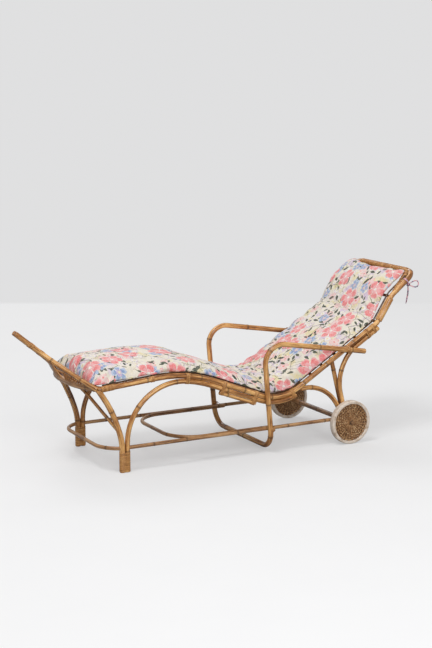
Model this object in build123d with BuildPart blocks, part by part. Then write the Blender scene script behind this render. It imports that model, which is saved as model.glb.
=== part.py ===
"""Rattan deck chair on two wheels: bent poles, cane bindings, a cane deck and a loose pad with ties."""
import os
from math import atan2, ceil, cos, dist, pi, radians, sin, tan

from build123d import *

os.makedirs("parts", exist_ok=True)

# Driving dimensions, in millimetres and degrees. Stations count along the chair from the front feet,
# towards the head, and a pair is a station and a height above the floor.

# Poles
rail_diameter = 26
arch_diameter = 24
leg_diameter = 27
sleeve_diameter = 36
stiffener_diameter = 18
arm_diameter = 26
rear_leg_diameter = 24
strut_diameter = 22
stretcher_diameter = 18
handle_diameter = 24
foot_rail_diameter = 28
brace_diameter = 16
axle_pole_diameter = 24
clearance = 0.3

# Side rails, from the foot over the knee and the seat to the head
rail_side = 272
foot_corner = (-134, 404)
knee_corner = (320, 445)
seat_corner = (837, 248)
back_corner = (1389, 594)
upper_corner = (1476, 730)
head_corner = (1611, 837)
knee_bend = 684
seat_bend = 241
back_bend = 60
upper_bend = 80
head_bend = 55
head_turn_in = 82
sleeve_start = 14
sleeve_length = 130

# Front arch and leg
arch_top_heading = radians(-8.6)
arch_end_heading = radians(24)
straight_between_bends = 1
leg_knee = 150
leg_waist = (-62, 300)
leg_knee_bend = 300
leg_waist_bend = 600
leg_top_reach = 2
stiffener_start = 205
stiffener_length = 205

# Arm hoop
arm_tip = (1303, 462)
arm_front = (722, 556)
post_foot = (772, 26)
arm_bend = 90
post_bend = 90

# Rear supports
rear_leg_end = 645
rear_leg_join = 442
rear_leg_waist = (1158, 335)
rear_leg_join_bend = 190
rear_leg_bend = 220
strut_top = 352
rear_arch_crest = (1085, 312)
rear_arch_bend = 200

# Stretchers
stretcher_front_over_axle = 6
stretcher_rear_over_axle = 16
foot_bow_station = -102
foot_bow_bend = 135
foot_bow_flare = 41
inner_hoop_front = 275
inner_hoop_end = 800
inner_hoop_bend = 150

# Handle, foot rail, panel canes and foot brace
handle_slope = radians(39.7)
handle_splay = radians(58)
handle_length = 387
handle_bend = 159
foot_rail_start = -108
foot_rail_bow = -186
foot_rail_shoulder = 150
foot_rail_bend = 330
panel_cane_diameter = 6
panel_cane_count = 12
panel_first_reach = 75
panel_reach_step = 15
panel_foot_step = 17.5
brace_reach = 44
brace_shoulder = 130
brace_bend = 150

# Wheels and axle
wheel_diameter = 220
axle_station = 1216
tyre_width = 33
tyre_thickness = 15
tyre_round = 6
wheel_gap = 5.5
disc_thickness = 8
facing_thickness = 4
hub_diameter = 22
axle_diameter = 10
hub_play = 0.05
axle_fit = 0.1
axle_pole_setback = 3.5
washer_diameter = 20
washer_thickness = 2
cap_diameter = 16
cap_length = 9
cap_wall = 3

# Deck and pad
cross_rod_diameter = 14
foot_rods = (115, 215)
knee_rods = (radians(2), radians(-15))
seat_rods = (180, 285, 366)
dip_rod = 0
back_rods = (140, 215, 290, 380, 520)
upper_rods = (6, 152)
deck_cane_diameter = 8
deck_canes = 9
deck_cane_margin = 7
deck_cane_start = 34
deck_cane_stop = 40
pad_half_width = 262
pad_head_half_width = 240
pad_head_share = 0.8
pad_narrowing_share = 0.1
pad_end_draw_in = 14
pad_run_step = 110
pad_bend_step = 20
pad_end_taper = 40
pad_gap = 0.6
pad_start = 4
pad_stop = 12
pad_edge = 26
pad_crown = 46
pad_foot_crown = 84
pad_foot_share = 0.3
pad_side_swell = 7
pad_end_edge = 22
pad_end_crown = 44

# Cane bindings: each pair is a reach along its run, or a heading on its bend, and a length
wrap_thickness = 2
foot_collar_start = 2
foot_collar_gap = 7
foot_bindings = ((50, 70), (277, 22))
knee_binding_length = 26
seat_bindings = ((217, 24), (400, 28))
dip_binding = (radians(21), 24)
back_bindings = ((-75, 22), (-34, 22))
upper_binding = (45, 66)
head_wrap_length = 50
handle_wrap_length = 24
handle_wrap_reaches = (222, 285)
lashing_thickness = 4.5
arm_lashing_width = 16
post_lashing_width = 14

# Pad ties
tie_diameter = 5
tie_reach = 106
tie_band_width = 9
tie_band_thickness = 3
knot_size = (16, 14, 14)
knot_round = 3
knot_sink = 2.5

# Worked out from the sizes above
rail_radius = rail_diameter / 2
handle_tip = foot_corner[0] - handle_length * cos(handle_slope) - handle_diameter / 2 * sin(handle_slope)
middle = (handle_tip + head_corner[0] + rail_radius + wrap_thickness) / 2
arm_side = rail_side + rail_radius + arm_diameter / 2 + clearance
stretcher_side = rail_side
inner_hoop_side = stretcher_side - stretcher_diameter - clearance
strut_side = rail_side - rail_radius - strut_diameter / 2 - clearance
wheel_inner_side = rail_side + rear_leg_diameter / 2 + wheel_gap
wheel_outer_side = wheel_inner_side + tyre_width
axle = (axle_station, wheel_diameter / 2)
stretcher_front_height = axle[1] + stretcher_front_over_axle
stretcher_rear_height = axle[1] + stretcher_rear_over_axle
foot_collar_end = stretcher_front_height - stretcher_diameter / 2 - foot_collar_gap
deck_cane_reach = rail_side - rail_radius - deck_cane_margin - deck_cane_diameter / 2
leg_station = -(leg_diameter + clearance) / 2
arch_station = (arch_diameter + clearance) / 2
handle_half_gap = (handle_diameter + clearance) / 2


def heading(start, end):
    """Angle of the way from one station and height to another."""
    return atan2(end[1] - start[1], end[0] - start[0])


def along(start, angle, reach, rise=0.0):
    """The point at a reach along a heading, shifted square to it by a rise."""
    return (
        start[0] + reach * cos(angle) - rise * sin(angle),
        start[1] + reach * sin(angle) + rise * cos(angle),
    )


def parallel(points, bends, rise):
    """Corners and bends of the route that runs beside another one, at a rise above it."""
    angles = [heading(a, b) for a, b in zip(points, points[1:])]
    corners = [along(points[0], angles[0], 0, rise)]
    radii = []
    for corner, bend, before, after in zip(points[1:], bends, angles, angles[1:]):
        half_turn = (after - before) / 2
        corners.append(along(corner, before + half_turn, 0, rise / cos(half_turn)))
        radii.append(bend - rise if half_turn > 0 else bend + rise)
    corners.append(along(points[-1], angles[-1], 0, rise))
    return corners, radii


def bend_centre(before, corner, after, radius):
    """Centre of the bend that rounds a corner."""
    first = heading(before, corner)
    half_turn = (heading(corner, after) - first) / 2
    side = 1 if half_turn > 0 else -1
    return along(corner, first + half_turn, 0, side * radius / cos(half_turn))


def at_side(points, side):
    """Stations and heights placed at a distance from the middle plane."""
    return [(station - middle, side, height) for station, height in points]


def bent_pole(points, bends, diameter, mode=Mode.ADD):
    """A round pole along straight runs joined by tangent bends."""
    with BuildLine() as route:
        if bends:
            FilletPolyline(*points, radius=bends)
        else:
            Line(*points)
    with BuildSketch(Plane(route.line @ 0, z_dir=route.line % 0)) as section:
        Circle(diameter / 2)
    sweep(section.sketch, path=route.line, mode=mode)


def clear_of(*poles):
    """Cuts the seats of other poles, with clearance, out of the piece being made."""
    for points, bends, diameter in poles:
        bent_pole(points, bends, diameter + 2 * clearance, mode=Mode.SUBTRACT)


def on_stretcher(station):
    """The station and the height of a side stretcher there, as it rises towards the axle."""
    rise = (stretcher_rear_height - stretcher_front_height) / axle_station
    return station, stretcher_front_height + rise * station


def mirrored(points):
    """The same points on the other side of the middle plane."""
    return [(x, -y, z) for x, y, z in points]


def mirrored_pole(pole):
    points, bends, diameter = pole
    return mirrored(points), bends, diameter


def cord_bends(points):
    """Bend radii of a limp cord, each as large as its two runs allow."""
    radii = []
    for before, corner, after in zip(points, points[1:], points[2:]):
        turn = radians((Vector(corner) - Vector(before)).get_angle(Vector(after) - Vector(corner)))
        radii.append(0.45 * min(dist(before, corner), dist(corner, after)) / tan(turn / 2))
    return radii


# Routes of the left side, which is the -Y side
rail_corners = [foot_corner, knee_corner, seat_corner, back_corner, upper_corner, head_corner]
rail_bends = [knee_bend, seat_bend, back_bend, upper_bend]
foot_run = heading(foot_corner, knee_corner)
seat_run = heading(knee_corner, seat_corner)
back_run = heading(seat_corner, back_corner)
upper_run = heading(back_corner, upper_corner)
head_run = heading(upper_corner, head_corner)
knee_centre = bend_centre(foot_corner, knee_corner, seat_corner, knee_bend)
seat_centre = bend_centre(knee_corner, seat_corner, back_corner, seat_bend)

head_x = head_corner[0] - middle
rail_route = at_side(rail_corners, -rail_side) + [(head_x, head_turn_in - rail_side, head_corner[1])]
rail_pole = (rail_route, rail_bends + [head_bend], rail_diameter)

# The front arch leaves the curve under the knee, and ends under the seat dip
under_rail = rail_radius + arch_diameter / 2 + clearance
knee_under = knee_bend - under_rail
seat_under = seat_bend + under_rail
arch_top = along(knee_centre, arch_top_heading, 0, knee_under)
arch_shoulder = (arch_station, arch_top[1] - (arch_top[0] - arch_station) * tan(arch_top_heading))
arch_front_bend = (dist(arch_shoulder, arch_top) - straight_between_bends) / tan(
    (pi / 2 - arch_top_heading) / 2
)
arch_knee = along(arch_top, arch_top_heading, knee_under * tan((arch_top_heading - seat_run) / 2))
seat_entry = along(seat_centre, seat_run, 0, -seat_under)
arch_seat = along(seat_entry, seat_run, seat_under * tan((arch_end_heading - seat_run) / 2))
arch_end = along(seat_centre, arch_end_heading, straight_between_bends, -seat_under)
arch_corners = [(arch_station, 0), arch_shoulder, arch_knee, arch_seat, arch_end]
arch_pole = (
    at_side(arch_corners, -rail_side),
    [arch_front_bend, knee_under, seat_under],
    arch_diameter,
)

leg_corners = [
    (leg_station, 0),
    (leg_station, leg_knee),
    leg_waist,
    along(foot_corner, foot_run, leg_top_reach),
]
leg_pole = (at_side(leg_corners, -rail_side), [leg_knee_bend, leg_waist_bend], leg_diameter)

stiffener_drop = under_rail + (arch_diameter + stiffener_diameter) / 2 + clearance
stiffener_ends = [
    along(knee_corner, seat_run, stiffener_start, -stiffener_drop),
    along(knee_corner, seat_run, stiffener_start + stiffener_length, -stiffener_drop),
]
stiffener_pole = (at_side(stiffener_ends, -rail_side), [], stiffener_diameter)

sleeve_ends = [
    along(back_corner, upper_run, sleeve_start),
    along(back_corner, upper_run, sleeve_start + sleeve_length),
]
sleeve_pole = (at_side(sleeve_ends, -rail_side), [], sleeve_diameter)

# The rear leg bends up under the rail and runs on beside it
rear_leg_drop = rail_radius + rear_leg_diameter / 2 + clearance
rear_leg_corners = [
    along(seat_corner, back_run, rear_leg_end, -rear_leg_drop),
    along(seat_corner, back_run, rear_leg_join, -rear_leg_drop),
    rear_leg_waist,
    axle,
]
rear_leg_pole = (
    at_side(rear_leg_corners, -rail_side),
    [rear_leg_join_bend, rear_leg_bend],
    rear_leg_diameter,
)

rear_arch_start = along(seat_centre, back_run, 0, -seat_bend - rail_radius)
rear_arch_corners = [rear_arch_start, rear_arch_crest, axle]
rear_arch_pole = (at_side(rear_arch_corners, -rail_side), [rear_arch_bend], arch_diameter)

strut_ends = [along(seat_corner, back_run, strut_top), axle]
strut_pole = (at_side(strut_ends, -strut_side), [], strut_diameter)

arm_left = at_side([arm_tip, arm_front, post_foot], -arm_side)
arm_pole = (
    arm_left + mirrored(arm_left)[::-1],
    [arm_bend, post_bend, post_bend, arm_bend],
    arm_diameter,
)

axle_pole_end = wheel_inner_side - axle_pole_setback
axle_pole_route = (
    at_side([axle], -axle_pole_end) + at_side([axle], axle_pole_end),
    [],
    axle_pole_diameter,
)

stretcher_ends = [on_stretcher(arch_station), on_stretcher(axle_station)]
stretcher_pole = (at_side(stretcher_ends, -stretcher_side), [], stretcher_diameter)

foot_bow_left = [
    (leg_station - stretcher_diameter / 2 - middle, -stretcher_side, stretcher_front_height),
    (foot_bow_station - middle, foot_bow_flare - stretcher_side, stretcher_front_height),
]
foot_bow_pole = (
    foot_bow_left + mirrored(foot_bow_left)[::-1],
    [foot_bow_bend, foot_bow_bend],
    stretcher_diameter,
)

inner_hoop_left = at_side(
    [on_stretcher(inner_hoop_end), on_stretcher(inner_hoop_front)], -inner_hoop_side
)
inner_hoop_pole = (
    inner_hoop_left + mirrored(inner_hoop_left)[::-1],
    [inner_hoop_bend, inner_hoop_bend],
    stretcher_diameter,
)

foot_rail_left = [
    (foot_rail_start - middle, -rail_side, foot_corner[1]),
    (foot_rail_bow - middle, -foot_rail_shoulder, foot_corner[1]),
]
foot_rail_pole = (
    foot_rail_left + mirrored(foot_rail_left)[::-1],
    [foot_rail_bend, foot_rail_bend],
    foot_rail_diameter,
)

brace_foot = along(leg_corners[1], heading(leg_corners[1], leg_waist), brace_reach)
brace_crown = foot_rail_bow + (foot_rail_diameter + brace_diameter) / 2 + clearance
brace_left = [
    (brace_foot[0] - middle, -rail_side, brace_foot[1]),
    (brace_crown - middle, -brace_shoulder, foot_corner[1]),
]
brace_pole = (brace_left + mirrored(brace_left)[::-1], [brace_bend, brace_bend], brace_diameter)


def on_handle(reach, side):
    """A point of the sloping handle plane, at a reach out from the foot corners."""
    return (
        foot_corner[0] - reach * cos(handle_slope) - middle,
        side,
        foot_corner[1] + reach * sin(handle_slope),
    )


handle_meet = (rail_side - handle_half_gap) / tan(handle_splay)
handle_route = [
    on_handle(0, -rail_side),
    on_handle(handle_meet, -handle_half_gap),
    on_handle(handle_length, -handle_half_gap),
]
handle_pole = (handle_route, [handle_bend], handle_diameter)

# Side rails, with the top rail between their turned-in ends
with BuildPart() as side_rail_left:
    bent_pole(*rail_pole)

top_rail_reach = rail_side - head_turn_in - clearance
with BuildPart() as top_rail:
    bent_pole(at_side([head_corner], -top_rail_reach) + at_side([head_corner], top_rail_reach), [],
              rail_diameter)

with BuildPart() as rail_sleeve_left:
    bent_pole(*sleeve_pole)
    bent_pole(sleeve_pole[0], [], rail_diameter + 2 * clearance, mode=Mode.SUBTRACT)

# Front supports
with BuildPart() as front_arch_left:
    bent_pole(*arch_pole)

with BuildPart() as front_leg_left:
    bent_pole(*leg_pole)
    clear_of(rail_pole, handle_pole)

with BuildPart() as seat_stiffener_left:
    bent_pole(*stiffener_pole)

# Rear supports, which meet on the axle pole
with BuildPart() as rear_leg_left:
    bent_pole(*rear_leg_pole)
    clear_of(axle_pole_route)

with BuildPart() as rear_arch_left:
    bent_pole(*rear_arch_pole)
    clear_of(rail_pole, rear_leg_pole, axle_pole_route)

with BuildPart() as rear_strut_left:
    bent_pole(*strut_pole)
    clear_of(axle_pole_route)

with BuildPart() as axle_pole:
    bent_pole(*axle_pole_route)
    bent_pole(axle_pole_route[0], [], axle_diameter + 2 * axle_fit, mode=Mode.SUBTRACT)

# Arms, posts and floor bar, bent from one pole
with BuildPart() as arm_hoop:
    bent_pole(*arm_pole)

# Stretchers
with BuildPart() as side_stretcher_left:
    bent_pole(*stretcher_pole)
    clear_of(arch_pole, rear_arch_pole, rear_leg_pole, axle_pole_route)

with BuildPart() as foot_bow:
    bent_pole(*foot_bow_pole)
    clear_of(leg_pole, mirrored_pole(leg_pole))

with BuildPart() as inner_hoop:
    bent_pole(*inner_hoop_pole)

# Foot rail, handle and foot brace
with BuildPart() as foot_rail:
    bent_pole(*foot_rail_pole)
    for pole in (rail_pole, leg_pole, handle_pole):
        clear_of(pole, mirrored_pole(pole))

with BuildPart() as handle_pole_left:
    bent_pole(*handle_pole)
    clear_of(rail_pole)

with BuildPart() as foot_brace:
    bent_pole(*brace_pole)
    clear_of(leg_pole, mirrored_pole(leg_pole))

# Canes of the handle panel, fanned from each handle pole down to the foot rail
with BuildLine() as foot_rail_line:
    FilletPolyline(*foot_rail_pole[0], radius=foot_rail_pole[1])
with BuildLine() as handle_line:
    FilletPolyline(*handle_pole[0], radius=handle_pole[1])
handle_wire = handle_line.wire()
foot_rail_wire = foot_rail_line.wire()

with BuildPart() as panel_canes:
    for i in range(panel_cane_count):
        upper = handle_wire @ ((panel_first_reach + i * panel_reach_step) / handle_wire.length)
        lower = foot_rail_wire @ ((panel_first_reach + i * panel_foot_step) / foot_rail_wire.length)
        bent_pole([upper, lower], [], panel_cane_diameter)
    mirror(about=Plane.XZ)
    clear_of(handle_pole, mirrored_pole(handle_pole), foot_rail_pole)

# Deck: cross rods between the rails, and canes along the chair on top of them
cross_rod_places = [along(foot_corner, foot_run, reach) for reach in foot_rods]
cross_rod_places += [along(knee_centre, angle, 0, knee_bend) for angle in knee_rods]
cross_rod_places += [along(knee_corner, seat_run, reach) for reach in seat_rods]
cross_rod_places += [along(seat_centre, dip_rod, 0, -seat_bend)]
cross_rod_places += [along(seat_corner, back_run, reach) for reach in back_rods]
cross_rod_places += [along(back_corner, upper_run, reach) for reach in upper_rods]
with BuildPart() as deck_cross_rods:
    for place in cross_rod_places:
        bent_pole(at_side([place], -rail_side) + at_side([place], rail_side), [], cross_rod_diameter)
    clear_of(rail_pole, mirrored_pole(rail_pole))

deck_rise = (cross_rod_diameter + deck_cane_diameter) / 2 + clearance
deck_corners, deck_bends = parallel(rail_corners, rail_bends, deck_rise)
deck_corners[0] = along(deck_corners[0], foot_run, deck_cane_start)
deck_corners[-1] = along(deck_corners[-1], head_run, -deck_cane_stop)
with BuildPart() as deck_long_canes:
    for i in range(deck_canes):
        cane_side = deck_cane_reach * (2 * i / (deck_canes - 1) - 1)
        bent_pole(at_side(deck_corners, cane_side), deck_bends, deck_cane_diameter)

# Pad: crowned sections along the deck, narrower at the head
pad_rise = deck_rise + deck_cane_diameter / 2 + pad_gap
pad_corners, pad_bends = parallel(rail_corners, rail_bends, pad_rise)
pad_corners[0] = along(pad_corners[0], foot_run, pad_start)
pad_corners[-1] = along(pad_corners[-1], head_run, -pad_stop)
with BuildLine() as pad_line:
    FilletPolyline(*at_side(pad_corners, 0), radius=pad_bends)
pad_wire = pad_line.wire()
pad_shares = [0]
for run in pad_wire.edges():
    count = ceil(run.length / (pad_bend_step if run.geom_type == GeomType.CIRCLE else pad_run_step))
    start = pad_shares[-1]
    pad_shares += [start + (i + 1) / count * run.length / pad_wire.length for i in range(count)]
end_share = pad_end_taper / pad_wire.length
pad_shares = [0, end_share] + [share for share in pad_shares if end_share < share < 1 - end_share]
pad_shares += [1 - end_share, 1]
with BuildPart() as pad:
    for share in pad_shares:
        at_end = share in (0, 1)
        edge = pad_end_edge if at_end else pad_edge
        swell = (pad_foot_crown - pad_crown) * max(0, 1 - share / pad_foot_share)
        crown = pad_end_crown if at_end else pad_crown + swell
        narrowed = min(1, max(0, (share - pad_head_share) / pad_narrowing_share))
        reach = pad_half_width - narrowed * (pad_half_width - pad_head_half_width)
        if at_end:
            reach -= pad_end_draw_in
        half = reach - pad_side_swell
        section = Plane(pad_wire @ share, x_dir=(0, 1, 0), z_dir=pad_wire % share)
        with BuildSketch(section):
            with BuildLine():
                Line((-half, 0), (half, 0))
                ThreePointArc((half, 0), (reach, edge / 2), (half, edge))
                ThreePointArc((half, edge), (0, crown), (-half, edge))
                ThreePointArc((-half, edge), (-reach, edge / 2), (-half, 0))
            make_face()
    loft(ruled=True)

# Cane bindings of the left side, each round the poles that it holds together
beside_arch = (-under_rail, arch_diameter / 2)
beside_stiffener = (-stiffener_drop, stiffener_diameter / 2)
beside_rear_leg = (-rear_leg_drop, rear_leg_diameter / 2)
on_rail = (0, rail_radius)
knee_place = along(knee_centre, arch_top_heading, 0, knee_bend)
dip_place = along(seat_centre, dip_binding[0], 0, -seat_bend)
collar_place = (arch_station, (foot_collar_start + foot_collar_end) / 2)
beside_leg = (arch_station - leg_station, leg_diameter / 2)
side_bindings = [
    (knee_place, arch_top_heading, [on_rail, beside_arch], knee_binding_length),
    (dip_place, dip_binding[0], [on_rail, beside_arch], dip_binding[1]),
    (collar_place, pi / 2, [(0, arch_diameter / 2), beside_leg],
     foot_collar_end - foot_collar_start),
]
for reach, length in foot_bindings:
    side_bindings.append((along(foot_corner, foot_run, reach), foot_run, [on_rail], length))
for reach, length in seat_bindings:
    poles = [on_rail, beside_arch, beside_stiffener]
    side_bindings.append((along(knee_corner, seat_run, reach), seat_run, poles, length))
for reach, length in back_bindings:
    poles = [on_rail, beside_rear_leg]
    side_bindings.append((along(back_corner, back_run, reach), back_run, poles, length))
upper_place = along(upper_corner, head_run, upper_binding[0])
side_bindings.append((upper_place, head_run, [on_rail], upper_binding[1]))
with BuildPart() as side_bindings_left:
    for place, angle, poles, length in side_bindings:
        section = Plane(
            (place[0] - middle, -rail_side, place[1]),
            x_dir=(0, 1, 0),
            z_dir=(cos(angle), 0, sin(angle)),
        )
        with BuildSketch(section):
            for rise, radius in poles:
                with Locations((0, rise)):
                    Circle(radius + wrap_thickness)
            if len(poles) > 1:
                make_hull()
        extrude(amount=length / 2, both=True)
    clear_of(rail_pole, arch_pole, stiffener_pole, rear_leg_pole)
    clear_of(leg_pole, foot_rail_pole, handle_pole)

# Lashings where poles cross or meet at an angle
arm_run = heading(arm_front, arm_tip)
rail_slope = tan(back_run)
arm_slope = tan(arm_run)
cross_station = (
    arm_front[1] - arm_slope * arm_front[0] - seat_corner[1] + rail_slope * seat_corner[0]
) / (rail_slope - arm_slope)
arm_cross = (cross_station, arm_front[1] + arm_slope * (cross_station - arm_front[0]))
cross_heading = (arm_run + back_run) / 2
post_cross = on_stretcher(post_foot[0])
with BuildPart() as lashings_left:
    section = Plane(
        (arm_cross[0] - middle, -rail_side, arm_cross[1]),
        x_dir=(0, 1, 0),
        z_dir=(cos(cross_heading), 0, sin(cross_heading)),
    )
    with BuildSketch(section):
        Circle(rail_radius + lashing_thickness)
        with Locations((rail_side - arm_side, 0)):
            Circle(arm_diameter / 2 + lashing_thickness)
        make_hull()
    extrude(amount=arm_lashing_width / 2, both=True)
    section = Plane(
        (post_cross[0] - middle, -stretcher_side, post_cross[1]), x_dir=(0, 1, 0), z_dir=(1, 0, 1)
    )
    with BuildSketch(section):
        Circle(stretcher_diameter / 2 + lashing_thickness)
        with Locations((stretcher_side - arm_side, 0)):
            Circle(arm_diameter / 2 + lashing_thickness)
        make_hull()
    extrude(amount=post_lashing_width / 2, both=True)
    clear_of(rail_pole, arm_pole, rear_leg_pole, stretcher_pole, inner_hoop_pole)

with BuildPart() as head_bindings:
    for place in at_side([head_corner], -top_rail_reach) + at_side([head_corner], top_rail_reach):
        with BuildSketch(Plane(place, z_dir=(0, 1, 0))):
            Circle(rail_radius + wrap_thickness)
            Circle(rail_radius + clearance, mode=Mode.SUBTRACT)
        extrude(amount=head_wrap_length / 2, both=True)

with BuildPart() as handle_bindings:
    for reach in handle_wrap_reaches:
        axis = (-cos(handle_slope), 0, sin(handle_slope))
        with BuildSketch(Plane(on_handle(reach, 0), x_dir=(0, 1, 0), z_dir=axis)):
            for side in (-handle_half_gap, handle_half_gap):
                with Locations((side, 0)):
                    Circle(handle_diameter / 2 + wrap_thickness)
            make_hull()
        extrude(amount=handle_wrap_length / 2, both=True)
    clear_of(handle_pole, mirrored_pole(handle_pole))

# Axle rod, its washers and end caps
washer_reaches = (
    wheel_inner_side - washer_thickness - clearance,
    wheel_outer_side + clearance,
)
cap_start = wheel_outer_side + washer_thickness + 2 * clearance
rod_end = cap_start + cap_length - cap_wall - clearance
with BuildPart() as axle_rod:
    bent_pole(at_side([axle], -rod_end) + at_side([axle], rod_end), [], axle_diameter)

with BuildPart() as axle_washers:
    for reach in washer_reaches:
        for outward in (-1, 1):
            start = at_side([axle], outward * reach)[0]
            with BuildSketch(Plane(start, z_dir=(0, outward, 0))):
                Circle(washer_diameter / 2)
                Circle(axle_diameter / 2 + axle_fit, mode=Mode.SUBTRACT)
            extrude(amount=washer_thickness)

with BuildPart() as axle_cap_left:
    with BuildSketch(Plane(at_side([axle], -cap_start)[0], z_dir=(0, -1, 0))):
        Circle(cap_diameter / 2)
    extrude(amount=cap_length)
    fillet(axle_cap_left.edges().sort_by(Axis.Y)[0], cap_wall)
    bent_pole(at_side([axle], -cap_start) + at_side([axle], -rod_end - clearance), [],
              axle_diameter + 2 * axle_fit, mode=Mode.SUBTRACT)

# Left wheel, from its inner side outwards
tyre_inner_radius = wheel_diameter / 2 - tyre_thickness
wheel_plane = Plane(at_side([axle], -wheel_inner_side)[0], x_dir=(1, 0, 0), z_dir=(0, -1, 0))
disc_start = (tyre_width - disc_thickness) / 2
with BuildPart() as tyre_left:
    with BuildSketch(wheel_plane):
        Circle(wheel_diameter / 2)
        Circle(tyre_inner_radius, mode=Mode.SUBTRACT)
    extrude(amount=tyre_width)
    fillet(tyre_left.edges().filter_by(GeomType.CIRCLE).group_by(SortBy.RADIUS)[-1], tyre_round)

with BuildPart() as wheel_disc_left:
    with BuildSketch(wheel_plane.offset(disc_start)):
        Circle(tyre_inner_radius)
        Circle(hub_diameter / 2, mode=Mode.SUBTRACT)
    extrude(amount=disc_thickness)

with BuildPart() as cane_facing_outer_left:
    with BuildSketch(wheel_plane.offset(disc_start + disc_thickness)):
        Circle(tyre_inner_radius)
        Circle(hub_diameter / 2, mode=Mode.SUBTRACT)
    extrude(amount=facing_thickness)

with BuildPart() as cane_facing_inner_left:
    with BuildSketch(wheel_plane.offset(disc_start - facing_thickness)):
        Circle(tyre_inner_radius)
        Circle(hub_diameter / 2, mode=Mode.SUBTRACT)
    extrude(amount=facing_thickness)

with BuildPart() as wheel_hub_left:
    with BuildSketch(wheel_plane):
        Circle(hub_diameter / 2)
        Circle(axle_diameter / 2 + hub_play, mode=Mode.SUBTRACT)
    extrude(amount=tyre_width)

# Left tie: a band round the rail, a knot behind it, a bow loop and two hanging tails
tie_place = along(upper_corner, head_run, tie_reach)
knot_reach = (knot_size[0] * sin(head_run) + knot_size[2] * cos(head_run)) / 2
knot_drop = rail_radius + clearance + tie_band_thickness + knot_reach - knot_sink
knot_place = along(tie_place, head_run, 0, -knot_drop)
with BuildPart() as tie_knot_left:
    with Locations((knot_place[0] - middle, -rail_side, knot_place[1])):
        Box(*knot_size)
    fillet(tie_knot_left.edges(), knot_round)
    axis = (cos(head_run), 0, sin(head_run))
    with BuildSketch(Plane((tie_place[0] - middle, -rail_side, tie_place[1]), z_dir=axis)):
        Circle(rail_radius + clearance + tie_band_thickness)
        Circle(rail_radius + clearance, mode=Mode.SUBTRACT)
    extrude(amount=tie_band_width / 2, both=True)


def tie_route(points):
    """Tie points given from the knot's middle: towards the head, to the right, and up."""
    return [
        (knot_place[0] - middle + x, -rail_side + y, knot_place[1] + z) for x, y, z in points
    ]


tail_front_points = [
    (-5, -3, -6), (-5, -4, -27), (-8, -5, -50), (-12, -4, -72), (-16, -5, -96),
]
tail_rear_points = [
    (2, 3, -6), (5, 4, -28), (4, 6, -50), (-1, 5, -73), (-7, 4, -92),
]
loop_points = [
    (7, 0, 4), (24, -1, 13), (41, -2, 18), (52, -3, 16), (59.5, -3, 7), (59.5, -4, -5),
    (52, -4, -14), (40.5, -4, -16), (24, -3, -12), (7, -1, -4),
]
with BuildPart() as tie_tail_front_left:
    bent_pole(tie_route(tail_front_points), cord_bends(tail_front_points), tie_diameter)

with BuildPart() as tie_tail_rear_left:
    bent_pole(tie_route(tail_rear_points), cord_bends(tail_rear_points), tie_diameter)

with BuildPart() as tie_loop_left:
    bent_pole(tie_route(loop_points), cord_bends(loop_points), tie_diameter)

for points in (tail_front_points, tail_rear_points, loop_points):
    print("tie bend radii", [round(radius, 1) for radius in cord_bends(points)])

# Pieces of the middle, and pieces of the left side that have a twin on the right
middle_pieces = {
    "top_rail": top_rail,
    "axle_pole": axle_pole,
    "arm_hoop": arm_hoop,
    "foot_bow": foot_bow,
    "inner_hoop": inner_hoop,
    "foot_rail": foot_rail,
    "foot_brace": foot_brace,
    "panel_canes": panel_canes,
    "deck_cross_rods": deck_cross_rods,
    "deck_long_canes": deck_long_canes,
    "pad": pad,
    "head_bindings": head_bindings,
    "handle_bindings": handle_bindings,
    "axle_rod": axle_rod,
    "axle_washers": axle_washers,
}
left_pieces = {
    "side_rail": side_rail_left,
    "rail_sleeve": rail_sleeve_left,
    "front_arch": front_arch_left,
    "front_leg": front_leg_left,
    "seat_stiffener": seat_stiffener_left,
    "rear_leg": rear_leg_left,
    "rear_arch": rear_arch_left,
    "rear_strut": rear_strut_left,
    "side_stretcher": side_stretcher_left,
    "handle_pole": handle_pole_left,
    "side_bindings": side_bindings_left,
    "lashings": lashings_left,
    "axle_cap": axle_cap_left,
    "tyre": tyre_left,
    "wheel_disc": wheel_disc_left,
    "cane_facing_outer": cane_facing_outer_left,
    "cane_facing_inner": cane_facing_inner_left,
    "wheel_hub": wheel_hub_left,
    "tie_knot": tie_knot_left,
    "tie_loop": tie_loop_left,
    "tie_tail_front": tie_tail_front_left,
    "tie_tail_rear": tie_tail_rear_left,
}


def keep(piece, node):
    """Labels a finished piece and writes it under its node's name."""
    piece.part.label = node
    export_step(piece.part, f"parts/{node}.step")


for node, piece in middle_pieces.items():
    keep(piece, node)
for node, piece in left_pieces.items():
    keep(piece, f"{node}_left")
    with BuildPart() as twin:
        mirror(piece.part, about=Plane.XZ)
    keep(twin, f"{node}_right")
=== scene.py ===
"""Looks of the rattan deck chair: dressed poles, wound cane, woven wheels, printed pad and its ties."""
import random
from bisect import bisect_right
from math import atan2, ceil, cos, exp, hypot, pi, radians, sin, tan

import bmesh
import bpy
import numpy as np
from mathutils import Matrix, Quaternion, Vector, noise


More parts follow.
